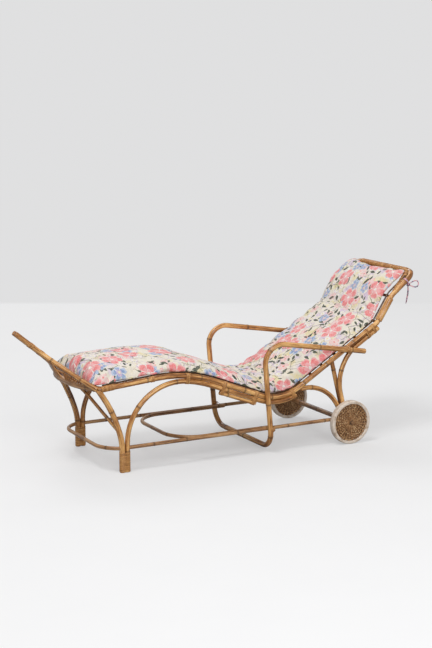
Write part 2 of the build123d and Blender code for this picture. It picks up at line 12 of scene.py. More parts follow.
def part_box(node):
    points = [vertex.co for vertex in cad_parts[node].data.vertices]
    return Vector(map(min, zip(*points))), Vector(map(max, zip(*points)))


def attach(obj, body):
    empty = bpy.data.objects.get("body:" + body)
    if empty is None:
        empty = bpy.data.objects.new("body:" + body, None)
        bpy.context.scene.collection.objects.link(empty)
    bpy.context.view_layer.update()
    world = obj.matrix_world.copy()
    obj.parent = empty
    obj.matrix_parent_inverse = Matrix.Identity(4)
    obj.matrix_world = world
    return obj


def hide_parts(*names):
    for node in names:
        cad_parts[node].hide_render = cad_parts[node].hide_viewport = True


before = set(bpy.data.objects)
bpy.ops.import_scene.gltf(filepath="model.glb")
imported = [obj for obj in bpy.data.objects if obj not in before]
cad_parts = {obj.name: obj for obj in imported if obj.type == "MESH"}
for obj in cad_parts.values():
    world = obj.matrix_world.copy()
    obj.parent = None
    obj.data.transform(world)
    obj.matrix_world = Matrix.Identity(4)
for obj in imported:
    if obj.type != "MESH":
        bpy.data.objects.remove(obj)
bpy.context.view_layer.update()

# Sizes in metres. A pair is a station along the chair, from the front feet, and a height.
LEFT, RIGHT = -1, 1
SIDE_NAMES = {LEFT: "left", RIGHT: "right"}
CLEARANCE = 0.0003

# Poles
RAIL = 0.026
ARCH = 0.024
LEG = 0.027
SLEEVE = 0.036
STIFFENER = 0.018
ARM = 0.026
REAR_LEG = 0.024
STRUT = 0.022
STRETCHER = 0.018
HANDLE = 0.024
FOOT_RAIL = 0.028
BRACE = 0.016
AXLE_POLE = 0.024

# Side rails
RAIL_SIDE = 0.272
FOOT_CORNER = (-0.134, 0.404)
KNEE_CORNER = (0.320, 0.445)
SEAT_CORNER = (0.837, 0.248)
BACK_CORNER = (1.389, 0.594)
UPPER_CORNER = (1.476, 0.730)
HEAD_CORNER = (1.611, 0.837)
KNEE_BEND = 0.684
SEAT_BEND = 0.241
BACK_BEND = 0.060
UPPER_BEND = 0.080
HEAD_BEND = 0.055
HEAD_TURN_IN = 0.082
SLEEVE_START = 0.014
SLEEVE_LENGTH = 0.130

# Supports
ARCH_TOP_HEADING = radians(-8.6)
ARCH_END_HEADING = radians(24)
ARCH_STRAIGHT = 0.001
LEG_KNEE = 0.150
LEG_WAIST = (-0.062, 0.300)
LEG_TOP_REACH = 0.002
LEG_BENDS = [0.300, 0.600]
STIFFENER_START = 0.205
STIFFENER_LENGTH = 0.205
ARM_TIP = (1.303, 0.462)
ARM_FRONT = (0.722, 0.556)
POST_FOOT = (0.772, 0.026)
ARM_BEND = 0.090
REAR_LEG_END = 0.645
REAR_LEG_JOIN = 0.442
REAR_LEG_WAIST = (1.158, 0.335)
REAR_LEG_BENDS = [0.190, 0.220]
STRUT_TOP = 0.352
REAR_ARCH_CREST = (1.085, 0.312)
REAR_ARCH_BEND = 0.200
STRETCHER_FRONT = 0.116
STRETCHER_REAR = 0.126
FOOT_BOW_STATION = -0.102
FOOT_BOW_FLARE = 0.041
FOOT_BOW_BEND = 0.135
INNER_HOOP_FRONT = 0.275
INNER_HOOP_END = 0.800
INNER_HOOP_BEND = 0.150

# Handle, foot rail, panel and brace
HANDLE_SLOPE = radians(39.7)
HANDLE_SPLAY = radians(58)
HANDLE_LENGTH = 0.387
HANDLE_BEND = 0.159
FOOT_RAIL_START = -0.108
FOOT_RAIL_BOW = -0.186
FOOT_RAIL_SHOULDER = 0.150
FOOT_RAIL_BEND = 0.330
PANEL_CANE = 0.006
PANEL_CANES = 12
PANEL_FIRST_REACH = 0.075
PANEL_REACH_STEP = 0.015
PANEL_FOOT_STEP = 0.0175
BRACE_REACH = 0.044
BRACE_SHOULDER = 0.130
BRACE_BEND = 0.150

# Wheels
WHEEL = 0.220
AXLE_STATION = 1.216
AXLE_POLE_PROUD = 0.002
TYRE_WIDTH = 0.033
TYRE_THICKNESS = 0.015
WHEEL_GAP = 0.0055
DISC_THICKNESS = 0.008
HUB = 0.022

# Deck and pad
CROSS_ROD = 0.014
FOOT_RODS = (0.115, 0.215)
KNEE_RODS = (radians(2), radians(-15))
SEAT_RODS = (0.180, 0.285, 0.366)
BACK_RODS = (0.140, 0.215, 0.290, 0.380, 0.520)
UPPER_RODS = (0.006, 0.152)
DECK_CANE = 0.008
DECK_CANES = 9
DECK_CANE_PITCH = 0.062
DECK_CANE_START = 0.034
DECK_CANE_STOP = 0.040
DECK_CANE_GAPS = (0.2, 0.4)
PAD_GAP = 0.0006

# Tie knot, measured as a reach up the head of the rail
TIE_REACH = 0.106
TIE_BAND = 0.003
KNOT_SIZE = (0.016, 0.014, 0.014)
KNOT_SINK = 0.0025

axle_low, axle_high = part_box("axle_rod")
MIDDLE = AXLE_STATION - (axle_low[0] + axle_high[0]) / 2


def heading(start, end):
    """Angle of the way from one station and height to another."""
    return atan2(end[1] - start[1], end[0] - start[0])


def along(start, angle, reach, rise=0.0):
    """The point at a reach along a heading, shifted square to it by a rise."""
    return (
        start[0] + reach * cos(angle) - rise * sin(angle),
        start[1] + reach * sin(angle) + rise * cos(angle),
    )


def parallel(points, bends, rise):
    """Corners and bends of the route that runs beside another one, at a rise above it."""
    angles = [heading(a, b) for a, b in zip(points, points[1:])]
    corners = [along(points[0], angles[0], 0, rise)]
    radii = []
    for corner, bend, before, after in zip(points[1:], bends, angles, angles[1:]):
        half_turn = (after - before) / 2
        corners.append(along(corner, before + half_turn, 0, rise / cos(half_turn)))
        radii.append(bend - rise if half_turn > 0 else bend + rise)
    corners.append(along(points[-1], angles[-1], 0, rise))
    return corners, radii


def bend_centre(before, corner, after, radius):
    """Centre of the bend that rounds a corner."""
    first = heading(before, corner)
    half_turn = (heading(corner, after) - first) / 2
    side = 1 if half_turn > 0 else -1
    return along(corner, first + half_turn, 0, side * radius / cos(half_turn))


def on_stretcher(station):
    """A station, and the height of a side stretcher there, as it rises towards the axle."""
    return station, STRETCHER_FRONT + (STRETCHER_REAR - STRETCHER_FRONT) * station / AXLE_STATION


def at_side(points, side):
    """Stations and heights placed at a distance from the middle plane."""
    return [Vector((station - MIDDLE, side, height)) for station, height in points]


def other_side(points):
    """The same points across the middle plane."""
    return [Vector((x, -y, z)) for x, y, z in points]


def across(left_half):
    """A route over both sides, from its left half."""
    return left_half + other_side(left_half)[::-1]


# Routes of the chair's own lines
rail_corners = [FOOT_CORNER, KNEE_CORNER, SEAT_CORNER, BACK_CORNER, UPPER_CORNER, HEAD_CORNER]
rail_bends = [KNEE_BEND, SEAT_BEND, BACK_BEND, UPPER_BEND]
foot_run = heading(FOOT_CORNER, KNEE_CORNER)
seat_run = heading(KNEE_CORNER, SEAT_CORNER)
back_run = heading(SEAT_CORNER, BACK_CORNER)
upper_run = heading(BACK_CORNER, UPPER_CORNER)
head_run = heading(UPPER_CORNER, HEAD_CORNER)
knee_centre = bend_centre(FOOT_CORNER, KNEE_CORNER, SEAT_CORNER, KNEE_BEND)
seat_centre = bend_centre(KNEE_CORNER, SEAT_CORNER, BACK_CORNER, SEAT_BEND)
axle = (AXLE_STATION, WHEEL / 2)
axle_x = AXLE_STATION - MIDDLE
leg_station = -(LEG + CLEARANCE) / 2
arch_station = (ARCH + CLEARANCE) / 2
arm_side = RAIL_SIDE + (RAIL + ARM) / 2 + CLEARANCE
strut_side = RAIL_SIDE - (RAIL + STRUT) / 2 - CLEARANCE
inner_hoop_side = RAIL_SIDE - STRETCHER - CLEARANCE
handle_half_gap = (HANDLE + CLEARANCE) / 2
under_rail = (RAIL + ARCH) / 2 + CLEARANCE
stiffener_drop = under_rail + (ARCH + STIFFENER) / 2 + CLEARANCE
rear_leg_drop = (RAIL + REAR_LEG) / 2 + CLEARANCE


def on_handle(reach, side):
    """A point of the sloping handle plane, at a reach out from the foot corners."""
    return Vector((
        FOOT_CORNER[0] - reach * cos(HANDLE_SLOPE) - MIDDLE,
        side,
        FOOT_CORNER[1] + reach * sin(HANDLE_SLOPE),
    ))


def front_arch_corners():
    """The arch leaves the curve under the knee, and ends under the seat dip."""
    knee_under = KNEE_BEND - under_rail
    seat_under = SEAT_BEND + under_rail
    top = along(knee_centre, ARCH_TOP_HEADING, 0, knee_under)
    shoulder = (arch_station, top[1] - (top[0] - arch_station) * tan(ARCH_TOP_HEADING))
    shoulder_run = hypot(top[0] - shoulder[0], top[1] - shoulder[1]) - ARCH_STRAIGHT
    front_bend = shoulder_run / tan((pi / 2 - ARCH_TOP_HEADING) / 2)
    knee = along(top, ARCH_TOP_HEADING, knee_under * tan((ARCH_TOP_HEADING - seat_run) / 2))
    seat_entry = along(seat_centre, seat_run, 0, -seat_under)
    seat = along(seat_entry, seat_run, seat_under * tan((ARCH_END_HEADING - seat_run) / 2))
    end = along(seat_centre, ARCH_END_HEADING, ARCH_STRAIGHT, -seat_under)
    return [(arch_station, 0), shoulder, knee, seat, end], [front_bend, knee_under, seat_under]


arch_corners, arch_bends = front_arch_corners()
leg_corners = [
    (leg_station, 0),
    (leg_station, LEG_KNEE),
    LEG_WAIST,
    along(FOOT_CORNER, foot_run, LEG_TOP_REACH),
]
head_turn = Vector((HEAD_CORNER[0] - MIDDLE, HEAD_TURN_IN - RAIL_SIDE, HEAD_CORNER[1]))
handle_meet = (RAIL_SIDE - handle_half_gap) / tan(HANDLE_SPLAY)
rail_route = (at_side(rail_corners, -RAIL_SIDE) + [head_turn], rail_bends + [HEAD_BEND])
handle_route = (
    [
        on_handle(0, -RAIL_SIDE),
        on_handle(handle_meet, -handle_half_gap),
        on_handle(HANDLE_LENGTH, -handle_half_gap),
    ],
    [HANDLE_BEND],
)
stiffener_ends = [
    along(KNEE_CORNER, seat_run, STIFFENER_START + reach, -stiffener_drop) for reach in (0, STIFFENER_LENGTH)
]
sleeve_ends = [along(BACK_CORNER, upper_run, SLEEVE_START + reach) for reach in (0, SLEEVE_LENGTH)]
rear_leg_corners = [
    along(SEAT_CORNER, back_run, REAR_LEG_END, -rear_leg_drop),
    along(SEAT_CORNER, back_run, REAR_LEG_JOIN, -rear_leg_drop),
    REAR_LEG_WAIST,
    axle,
]
rear_arch_corners = [along(seat_centre, back_run, 0, -SEAT_BEND - RAIL / 2), REAR_ARCH_CREST, axle]
strut_ends = [along(SEAT_CORNER, back_run, STRUT_TOP), axle]
stretcher_ends = [on_stretcher(arch_station), on_stretcher(AXLE_STATION)]
left_poles = {
    "side_rail": (*rail_route, RAIL),
    "front_arch": (at_side(arch_corners, -RAIL_SIDE), arch_bends, ARCH),
    "front_leg": (at_side(leg_corners, -RAIL_SIDE), LEG_BENDS, LEG),
    "seat_stiffener": (at_side(stiffener_ends, -RAIL_SIDE), [], STIFFENER),
    "rail_sleeve": (at_side(sleeve_ends, -RAIL_SIDE), [], SLEEVE),
    "rear_leg": (at_side(rear_leg_corners, -RAIL_SIDE), REAR_LEG_BENDS, REAR_LEG),
    "rear_arch": (at_side(rear_arch_corners, -RAIL_SIDE), [REAR_ARCH_BEND], ARCH),
    "rear_strut": (at_side(strut_ends, -strut_side), [], STRUT),
    "side_stretcher": (at_side(stretcher_ends, -RAIL_SIDE), [], STRETCHER),
    "handle_pole": (*handle_route, HANDLE),
}

foot_rail_half = at_side([(FOOT_RAIL_START, FOOT_CORNER[1])], -RAIL_SIDE)
foot_rail_half += at_side([(FOOT_RAIL_BOW, FOOT_CORNER[1])], -FOOT_RAIL_SHOULDER)
foot_rail_route = (across(foot_rail_half), [FOOT_RAIL_BEND] * 2)
brace_foot = along(leg_corners[1], heading(leg_corners[1], LEG_WAIST), BRACE_REACH)
brace_crown = FOOT_RAIL_BOW + (FOOT_RAIL + BRACE) / 2 + CLEARANCE
brace_half = at_side([brace_foot], -RAIL_SIDE) + at_side([(brace_crown, FOOT_CORNER[1])], -BRACE_SHOULDER)
foot_bow_half = at_side([(leg_station - STRETCHER / 2, STRETCHER_FRONT)], -RAIL_SIDE)
foot_bow_half += at_side([(FOOT_BOW_STATION, STRETCHER_FRONT)], FOOT_BOW_FLARE - RAIL_SIDE)
hoop_half = at_side([on_stretcher(INNER_HOOP_END), on_stretcher(INNER_HOOP_FRONT)], -inner_hoop_side)
arm_half = at_side([ARM_TIP, ARM_FRONT, POST_FOOT], -arm_side)
top_rail_reach = RAIL_SIDE - HEAD_TURN_IN
axle_pole_reach = RAIL_SIDE + REAR_LEG / 2 + AXLE_POLE_PROUD
middle_poles = {
    "top_rail": (across(at_side([HEAD_CORNER], -top_rail_reach)), [], RAIL),
    "axle_pole": (across(at_side([axle], -axle_pole_reach)), [], AXLE_POLE),
    "arm_hoop": (across(arm_half), [ARM_BEND] * 4, ARM),
    "foot_bow": (across(foot_bow_half), [FOOT_BOW_BEND] * 2, STRETCHER),
    "inner_hoop": (across(hoop_half), [INNER_HOOP_BEND] * 2, STRETCHER),
    "foot_rail": (*foot_rail_route, FOOT_RAIL),
    "foot_brace": (across(brace_half), [BRACE_BEND] * 2, BRACE),
}

# Lines and meshes
BEND_STEP = radians(5)
RING_STEP = 0.014
HALF_STEP = 0.002
POLE_SIDES = 16
CANE_SIDES = 8
END_ROUND = 0.0035
KNUCKLE_HALF = 0.0045
KNUCKLE_SWELL = 0.070
KNUCKLE_GAPS = (0.15, 0.30)
KNUCKLE_FIRST = (0.3, 0.9)
KNUCKLE_LAST = 0.02
POLE_SWAY = 0.02
POLE_SWAY_RATE = 7
CUT_END = 0.86
SHARP_FROM = radians(50)
SEAM = 2e-6


class Line:
    """Straight runs with rounded corners, measured by the distance from the start."""

    def __init__(self, corners, bends=()):
        self.points = [Vector(corners[0])]
        for before, corner, after, radius in zip(corners, corners[1:], corners[2:], bends):
            back = (before - corner).normalized()
            ahead = (after - corner).normalized()
            turn = pi - back.angle(ahead)
            start = corner + back * radius * tan(turn / 2)
            centre = corner + (back + ahead).normalized() * radius / cos(turn / 2)
            axis = ahead.cross(back).normalized()
            steps = max(2, ceil(turn / BEND_STEP))
            for i in range(steps + 1):
                self.points.append(centre + Quaternion(axis, turn * i / steps) @ (start - centre))
        self.points.append(Vector(corners[-1]))
        self.reaches = [0.0]
        for a, b in zip(self.points, self.points[1:]):
            self.reaches.append(self.reaches[-1] + (b - a).length)
        self.length = self.reaches[-1]

    def at(self, reach):
        """The point at a reach along the line."""
        reach = min(max(reach, 0.0), self.length)
        i = min(bisect_right(self.reaches, reach), len(self.points) - 1)
        span = self.reaches[i] - self.reaches[i - 1]
        share = (reach - self.reaches[i - 1]) / span if span else 0.0
        return self.points[i - 1].lerp(self.points[i], share)

    def ahead(self, reach):
        """The direction of the line at a reach."""
        return (self.at(reach + HALF_STEP) - self.at(reach - HALF_STEP)).normalized()

    def frames(self, reaches):
        """Frames along the line that turn no more than the line itself turns."""
        ahead = self.ahead(reaches[0])
        turn = Vector((0, 0, 1)).rotation_difference(ahead)
        places = []
        for reach in reaches:
            turn = ahead.rotation_difference(self.ahead(reach)) @ turn
            ahead = self.ahead(reach)
            places.append(Matrix.Translation(self.at(reach)) @ turn.to_matrix().to_4x4())
        return places


def new_cane_mesh():
    """A mesh whose points note their place on the cane: across it, and along it."""
    bm = bmesh.new()
    bm.verts.layers.float_vector.new("grain")
    bm.verts.layers.float.new("knuckle")
    return bm


def sweep(bm, places, sizes, reaches, sides, knuckles=None, closed=False):
    """Rolls a grid into a tube through a list of frames, each with its own half sizes."""
    tube = new_cane_mesh()
    grain = tube.verts.layers.float_vector["grain"]
    knuckle = tube.verts.layers.float["knuckle"]
    runs = len(places) - 1
    for vert in bmesh.ops.create_grid(tube, x_segments=runs, y_segments=sides, size=1)["verts"]:
        i = round((vert.co.x + 1) / 2 * runs)
        angle = pi * (vert.co.y + 1)
        spot = Vector((sizes[i][0] * cos(angle), sizes[i][1] * sin(angle), 0))
        vert[grain] = (spot.x, spot.y, reaches[i])
        vert[knuckle] = knuckles[i] if knuckles else 0.0
        vert.co = places[i] @ spot
    bmesh.ops.remove_doubles(tube, verts=tube.verts, dist=SEAM)
    if not closed:
        bmesh.ops.holes_fill(tube, edges=[edge for edge in tube.edges if edge.is_boundary], sides=sides)
    mesh = bpy.data.meshes.new("tube")
    tube.to_mesh(mesh)
    tube.free()
    bm.from_mesh(mesh)
    bpy.data.meshes.remove(mesh)


def knuckle_reaches(length, gaps, chance):
    """Where the knuckles of a grown cane lie."""
    reaches = []
    reach = chance.uniform(*KNUCKLE_FIRST) * gaps[0]
    while reach < length - KNUCKLE_LAST:
        reaches.append(reach)
        reach += chance.uniform(*gaps)
    return reaches


def pole(bm, corners, bends, thickness, chance, gaps=KNUCKLE_GAPS):
    """A grown cane: slightly uneven, with knuckles, and rounded over at its cut ends."""
    line = Line(corners, bends)
    marks = knuckle_reaches(line.length, gaps, chance)
    steps = max(2, ceil(line.length / RING_STEP))
    stops = {line.length * i / steps for i in range(1, steps)}
    for inset in (0.0, END_ROUND * 0.3, END_ROUND):
        stops.update((inset, line.length - inset))
    for mark in marks:
        stops.update(mark + KNUCKLE_HALF * share for share in (-2, -1, -0.5, 0, 0.5, 1, 2))
    reaches = sorted(stop for stop in stops if 0 <= stop <= line.length)
    offset = chance.uniform(0, 50)
    sizes = []
    darks = []
    for reach in reaches:
        near = max((exp(-((reach - mark) / KNUCKLE_HALF) ** 2) for mark in marks), default=0.0)
        sway = noise.noise((offset, reach * POLE_SWAY_RATE, 0)) * POLE_SWAY
        to_end = min(reach, line.length - reach) / END_ROUND
        end = 1.0 if to_end >= 1 else CUT_END + (1 - CUT_END) * to_end ** 0.5
        radius = thickness / 2 * (1 + sway + KNUCKLE_SWELL * near) * end
        sizes.append((radius, radius))
        darks.append(near)
    sweep(bm, line.frames(reaches), sizes, [offset + reach for reach in reaches], POLE_SIDES, darks)


def finish_piece(name, bm, material, body="frame", nodes=()):
    """Makes a piece of a finished mesh: faces outwards, smooth, riding on its body."""
    bmesh.ops.recalc_face_normals(bm, faces=bm.faces)
    for face in bm.faces:
        face.smooth = True
    for edge in bm.edges:
        edge.smooth = edge.calc_face_angle(0.0) < SHARP_FROM
    mesh = bpy.data.meshes.new(name)
    bm.to_mesh(mesh)
    bm.free()
    mesh.materials.append(material)
    piece = bpy.data.objects.new(name, mesh)
    bpy.context.collection.objects.link(piece)
    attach(piece, body)
    if nodes:
        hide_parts(*nodes)
    return piece


# Node helpers
def join(tree, socket, value):
    """Links a socket to another, or sets its value."""
    if isinstance(value, bpy.types.NodeSocket):
        tree.links.new(value, socket)
    elif socket.type == "RGBA":
        socket.default_value = (*value, 1)
    else:
        socket.default_value = value


def put(tree, kind, inputs=(), **settings):
    """A node with its settings made and its inputs linked or set."""
    node = tree.nodes.new(kind)
    for name, value in settings.items():
        setattr(node, name, value)
    for name, value in dict(inputs).items():
        join(tree, node.inputs[name], value)
    return node


def calc(tree, operation, *values):
    """The result of a sum on sockets and numbers."""
    return put(tree, "ShaderNodeMath", enumerate(values), operation=operation).outputs[0]


def vector_calc(tree, operation, *values):
    """The result of a sum on vectors."""
    return put(tree, "ShaderNodeVectorMath", enumerate(values), operation=operation).outputs[0]


def scaled(tree, vector, scale):
    """A vector stretched along its axes."""
    return vector_calc(tree, "MULTIPLY", vector, scale)


def speckle(tree, vector, scale=1.0, detail=3.0, rough=0.55, distort=0.0):
    """Noise on a vector."""
    settings = {"Vector": vector, "Scale": scale, "Detail": detail, "Roughness": rough}
    return put(tree, "ShaderNodeTexNoise", {**settings, "Distortion": distort}).outputs["Fac"]


def ramp(tree, factor, *stops, blend="LINEAR"):
    """Colours by a factor, each stop a place and a colour."""
    node = put(tree, "ShaderNodeValToRGB", {"Fac": factor})
    node.color_ramp.interpolation = blend
    marks = node.color_ramp.elements
    while len(marks) < len(stops):
        marks.new(0.5)
    for mark, (place, colour) in zip(marks, stops):
        mark.position = place
        mark.color = (*colour, 1)
    return node.outputs["Color"]


def mixed(tree, factor, first, second, blend="MIX"):
    """Two colours mixed by a factor."""
    node = put(tree, "ShaderNodeMix", {"Factor": factor}, data_type="RGBA", blend_type=blend)
    join(tree, node.inputs[6], first)
    join(tree, node.inputs[7], second)
    return node.outputs[2]


def between(tree, value, low, high, to_low=0.0, to_high=1.0):
    """A value brought from one range to another, and kept within it."""
    sizes = {"Value": value, "From Min": low, "From Max": high, "To Min": to_low, "To Max": to_high}
    return put(tree, "ShaderNodeMapRange", sizes).outputs["Result"]


def bumped(tree, height, distance, strength=1.0):
    """A surface normal raised by a height."""
    sizes = {"Height": height, "Distance": distance, "Strength": strength}
    return put(tree, "ShaderNodeBump", sizes).outputs["Normal"]


def attribute(tree, name, output):
    """One of the points' own notes."""
    return put(tree, "ShaderNodeAttribute", attribute_name=name).outputs[output]


def object_place(tree):
    """The place on the piece, in metres."""
    return put(tree, "ShaderNodeTexCoord").outputs["Object"]


def dress(tree, shader, colour, rough, normal):
    """Gives a shader its colour, its roughness and its relief."""
    join(tree, shader.inputs["Base Color"], colour)
    join(tree, shader.inputs["Roughness"], rough)
    join(tree, shader.inputs["Normal"], normal)


def finish_material(name, build):
    """A material whose nodes a function builds round one shader."""
    material = bpy.data.materials.new(name)
    material.use_nodes = True
    tree = material.node_tree
    build(tree, tree.nodes["Principled BSDF"])
    return material


# Finishes, in linear colours
DARK_BROWN = (0.050, 0.020, 0.007)
SOILED_RIM = (0.50, 0.37, 0.26)
RIM_CREAM = (0.76, 0.64, 0.53)
PALE_RIM_CREAM = (0.86, 0.76, 0.66)
WORN_RIM = (0.36, 0.24, 0.14)
STAINED_STEEL = (0.16, 0.10, 0.065)
STEEL = (0.34, 0.28, 0.22)


def rattan(name, dark, middle, light, gloss):
    """Varnished rattan: fibres along the cane, soft blotches, dark knuckles and pores."""

    def build(tree, shader):
        grain = attribute(tree, "grain", "Vector")
        fibre = speckle(tree, scaled(tree, grain, (200, 200, 5)), detail=4, rough=0.6)
        blotch = speckle(tree, scaled(tree, grain, (40, 40, 9)), detail=4, rough=0.65)
        pore = speckle(tree, scaled(tree, grain, (900, 900, 30)), detail=2)
        tone = calc(tree, "MULTIPLY_ADD", fibre, 0.55, calc(tree, "MULTIPLY", blotch, 0.45))
        colour = ramp(tree, tone, (0.38, dark), (0.48, middle), (0.60, light))
        pores = between(tree, pore, 0.60, 0.74, 0.0, 0.5)
        colour = mixed(tree, pores, colour, DARK_BROWN)
        knuckle = calc(tree, "MULTIPLY", attribute(tree, "knuckle", "Fac"), 0.7)
        colour = mixed(tree, knuckle, colour, DARK_BROWN)
        rough = between(tree, blotch, 0.3, 0.7, gloss, gloss + 0.22)
        relief = calc(tree, "SUBTRACT", fibre, calc(tree, "MULTIPLY", pores, 0.6))
        dress(tree, shader, colour, rough, bumped(tree, relief, 0.0006, 0.5))
        shader.inputs["Coat Weight"].default_value = 0.35
        shader.inputs["Coat Roughness"].default_value = 0.16

    return finish_material(name, build)


def peeled_cane(name, dark, middle, light):
    """Split cane for wraps: a shiny skin with fine lines along the strip."""

    def build(tree, shader):
        grain = attribute(tree, "grain", "Vector")
        fibre = speckle(tree, scaled(tree, grain, (1600, 1600, 12)), detail=3)
        blotch = speckle(tree, scaled(tree, grain, (30, 30, 16)), detail=3)
        tone = calc(tree, "MULTIPLY_ADD", fibre, 0.4, calc(tree, "MULTIPLY", blotch, 0.6))
        colour = ramp(tree, tone, (0.34, dark), (0.5, middle), (0.64, light))
        rough = between(tree, fibre, 0.3, 0.7, 0.30, 0.5)
        dress(tree, shader, colour, rough, bumped(tree, fibre, 0.0003, 0.5))
        shader.inputs["Coat Weight"].default_value = 0.25
        shader.inputs["Coat Roughness"].default_value = 0.2

    return finish_material(name, build)


def cream_rim():
    """Cream paint of the wheel rims, worn and a little soiled."""

    def build(tree, shader):
        place = object_place(tree)
        soil = speckle(tree, place, scale=38, detail=5, rough=0.65)
        scuff = speckle(tree, place, scale=240, detail=3)
        colour = ramp(tree, soil, (0.3, SOILED_RIM), (0.46, RIM_CREAM), (0.62, PALE_RIM_CREAM))
        worn = between(tree, scuff, 0.62, 0.75, 0.0, 0.45)
        colour = mixed(tree, worn, colour, WORN_RIM)
        rough = between(tree, soil, 0.3, 0.7, 0.5, 0.72)
        dress(tree, shader, colour, rough, bumped(tree, scuff, 0.0004, 0.4))

    return finish_material("cream_rim_cane", build)


def disc_wood(name, dark, light):
    """Plain wood: near black behind the woven faces, as painted shade between the weavers, and the brown of
    the hubs and the axle's caps.
    """

    def build(tree, shader):
        place = scaled(tree, object_place(tree), (12, 60, 140))
        rings = speckle(tree, place, detail=4)
        colour = ramp(tree, rings, (0.35, dark), (0.62, light))
        rough = between(tree, rings, 0.3, 0.7, 0.55, 0.75)
        dress(tree, shader, colour, rough, bumped(tree, rings, 0.0004, 0.4))

    return finish_material(name, build)


def aged_steel():
    """Browned steel of the axle and its washers."""

    def build(tree, shader):
        place = object_place(tree)
        stain = speckle(tree, place, scale=160, detail=5)
        brushed = speckle(tree, scaled(tree, place, (900, 60, 900)), detail=2)
        colour = ramp(tree, stain, (0.4, STAINED_STEEL), (0.6, STEEL))
        rough = between(tree, stain, 0.3, 0.7, 0.35, 0.6)
        dress(tree, shader, colour, rough, bumped(tree, brushed, 0.0002, 0.3))
        shader.inputs["Metallic"].default_value = 0.85

    return finish_material("aged_steel", build)


pole_finish = rattan(
    "golden_rattan", (0.085, 0.026, 0.006), (0.46, 0.182, 0.044), (0.94, 0.55, 0.200), 0.24
)
stretcher_finish = rattan(
    "brown_rattan", (0.11, 0.042, 0.015), (0.37, 0.175, 0.067), (0.64, 0.37, 0.170), 0.30
)
# The deck's rattan is a darker copy of the pole rattan: painted shade for the shadow under the pad.
deck_painted_shade_finish = rattan(
    "rattan_in_painted_shade", (0.05, 0.022, 0.009), (0.125, 0.058, 0.023), (0.21, 0.105, 0.045), 0.38
)
wrap_finish = peeled_cane("wrap_cane", (0.17, 0.062, 0.016), (0.54, 0.240, 0.066), (0.86, 0.53, 0.20))
lash_finish = peeled_cane("lashing_cane", (0.13, 0.048, 0.013), (0.44, 0.190, 0.053), (0.78, 0.44, 0.155))
weave_finish = peeled_cane("woven_cane", (0.06, 0.022, 0.008), (0.42, 0.205, 0.078), (0.95, 0.67, 0.37))
rim_finish = cream_rim()
# The wheel discs are near black: painted shade that shows between the weavers.
disc_painted_shade_finish = disc_wood("disc_wood_painted_shade", (0.028, 0.012, 0.005), (0.08, 0.038, 0.017))
cap_finish = disc_wood("cap_wood", (0.15, 0.070, 0.030), (0.44, 0.235, 0.105))
steel_finish = aged_steel()


# Poles
def pole_piece(node, poles, material, gaps=KNUCKLE_GAPS):
    """One piece of grown canes that stands for a node."""
    bm = new_cane_mesh()
    chance = random.Random(node)
    for corners, bends, thickness in poles:
        pole(bm, corners, bends, thickness, chance, gaps)
    return finish_piece(f"cane_{node}", bm, material, nodes=[node])


BROWN_POLES = {"side_stretcher", "inner_hoop", "foot_bow", "axle_pole", "foot_rail"}
for name, (corners, bends, thickness) in left_poles.items():
    finish = stretcher_finish if name in BROWN_POLES else pole_finish
    pole_piece(f"{name}_left", [(corners, bends, thickness)], finish)
    pole_piece(f"{name}_right", [(other_side(corners), bends, thickness)], finish)
for name, one_pole in middle_poles.items():
    pole_piece(name, [one_pole], stretcher_finish if name in BROWN_POLES else pole_finish)

# Deck: cross rods between the rails, and canes along the chair on top of them
rod_places = [along(FOOT_CORNER, foot_run, reach) for reach in FOOT_RODS]
rod_places += [along(knee_centre, angle, 0, KNEE_BEND) for angle in KNEE_RODS]
rod_places += [along(KNEE_CORNER, seat_run, reach) for reach in SEAT_RODS]
rod_places += [along(seat_centre, 0, 0, -SEAT_BEND)]
rod_places += [along(SEAT_CORNER, back_run, reach) for reach in BACK_RODS]
rod_places += [along(BACK_CORNER, upper_run, reach) for reach in UPPER_RODS]
rods = [(across(at_side([place], -RAIL_SIDE)), [], CROSS_ROD) for place in rod_places]
# Both deck pieces take the rattan darkened with painted shade.
pole_piece("deck_cross_rods", rods, deck_painted_shade_finish)

deck_rise = (CROSS_ROD + DECK_CANE) / 2 + CLEARANCE
deck_corners, deck_bends = parallel(rail_corners, rail_bends, deck_rise)
deck_corners[0] = along(deck_corners[0], foot_run, DECK_CANE_START)
deck_corners[-1] = along(deck_corners[-1], head_run, -DECK_CANE_STOP)
long_canes = []
for i in range(DECK_CANES):
    cane_side = (i - (DECK_CANES - 1) / 2) * DECK_CANE_PITCH
    long_canes.append((at_side(deck_corners, cane_side), deck_bends, DECK_CANE))
pole_piece("deck_long_canes", long_canes, deck_painted_shade_finish, gaps=DECK_CANE_GAPS)

# Wound cane
CANE_WIDTH = 0.0043
CANE_HALF = 0.0009
CANE_PITCH = 0.0050
WIND_STEPS = 18
SIDEWAYS = Vector((0, 1, 0))
UPWARDS = Vector((0, 0, 1))


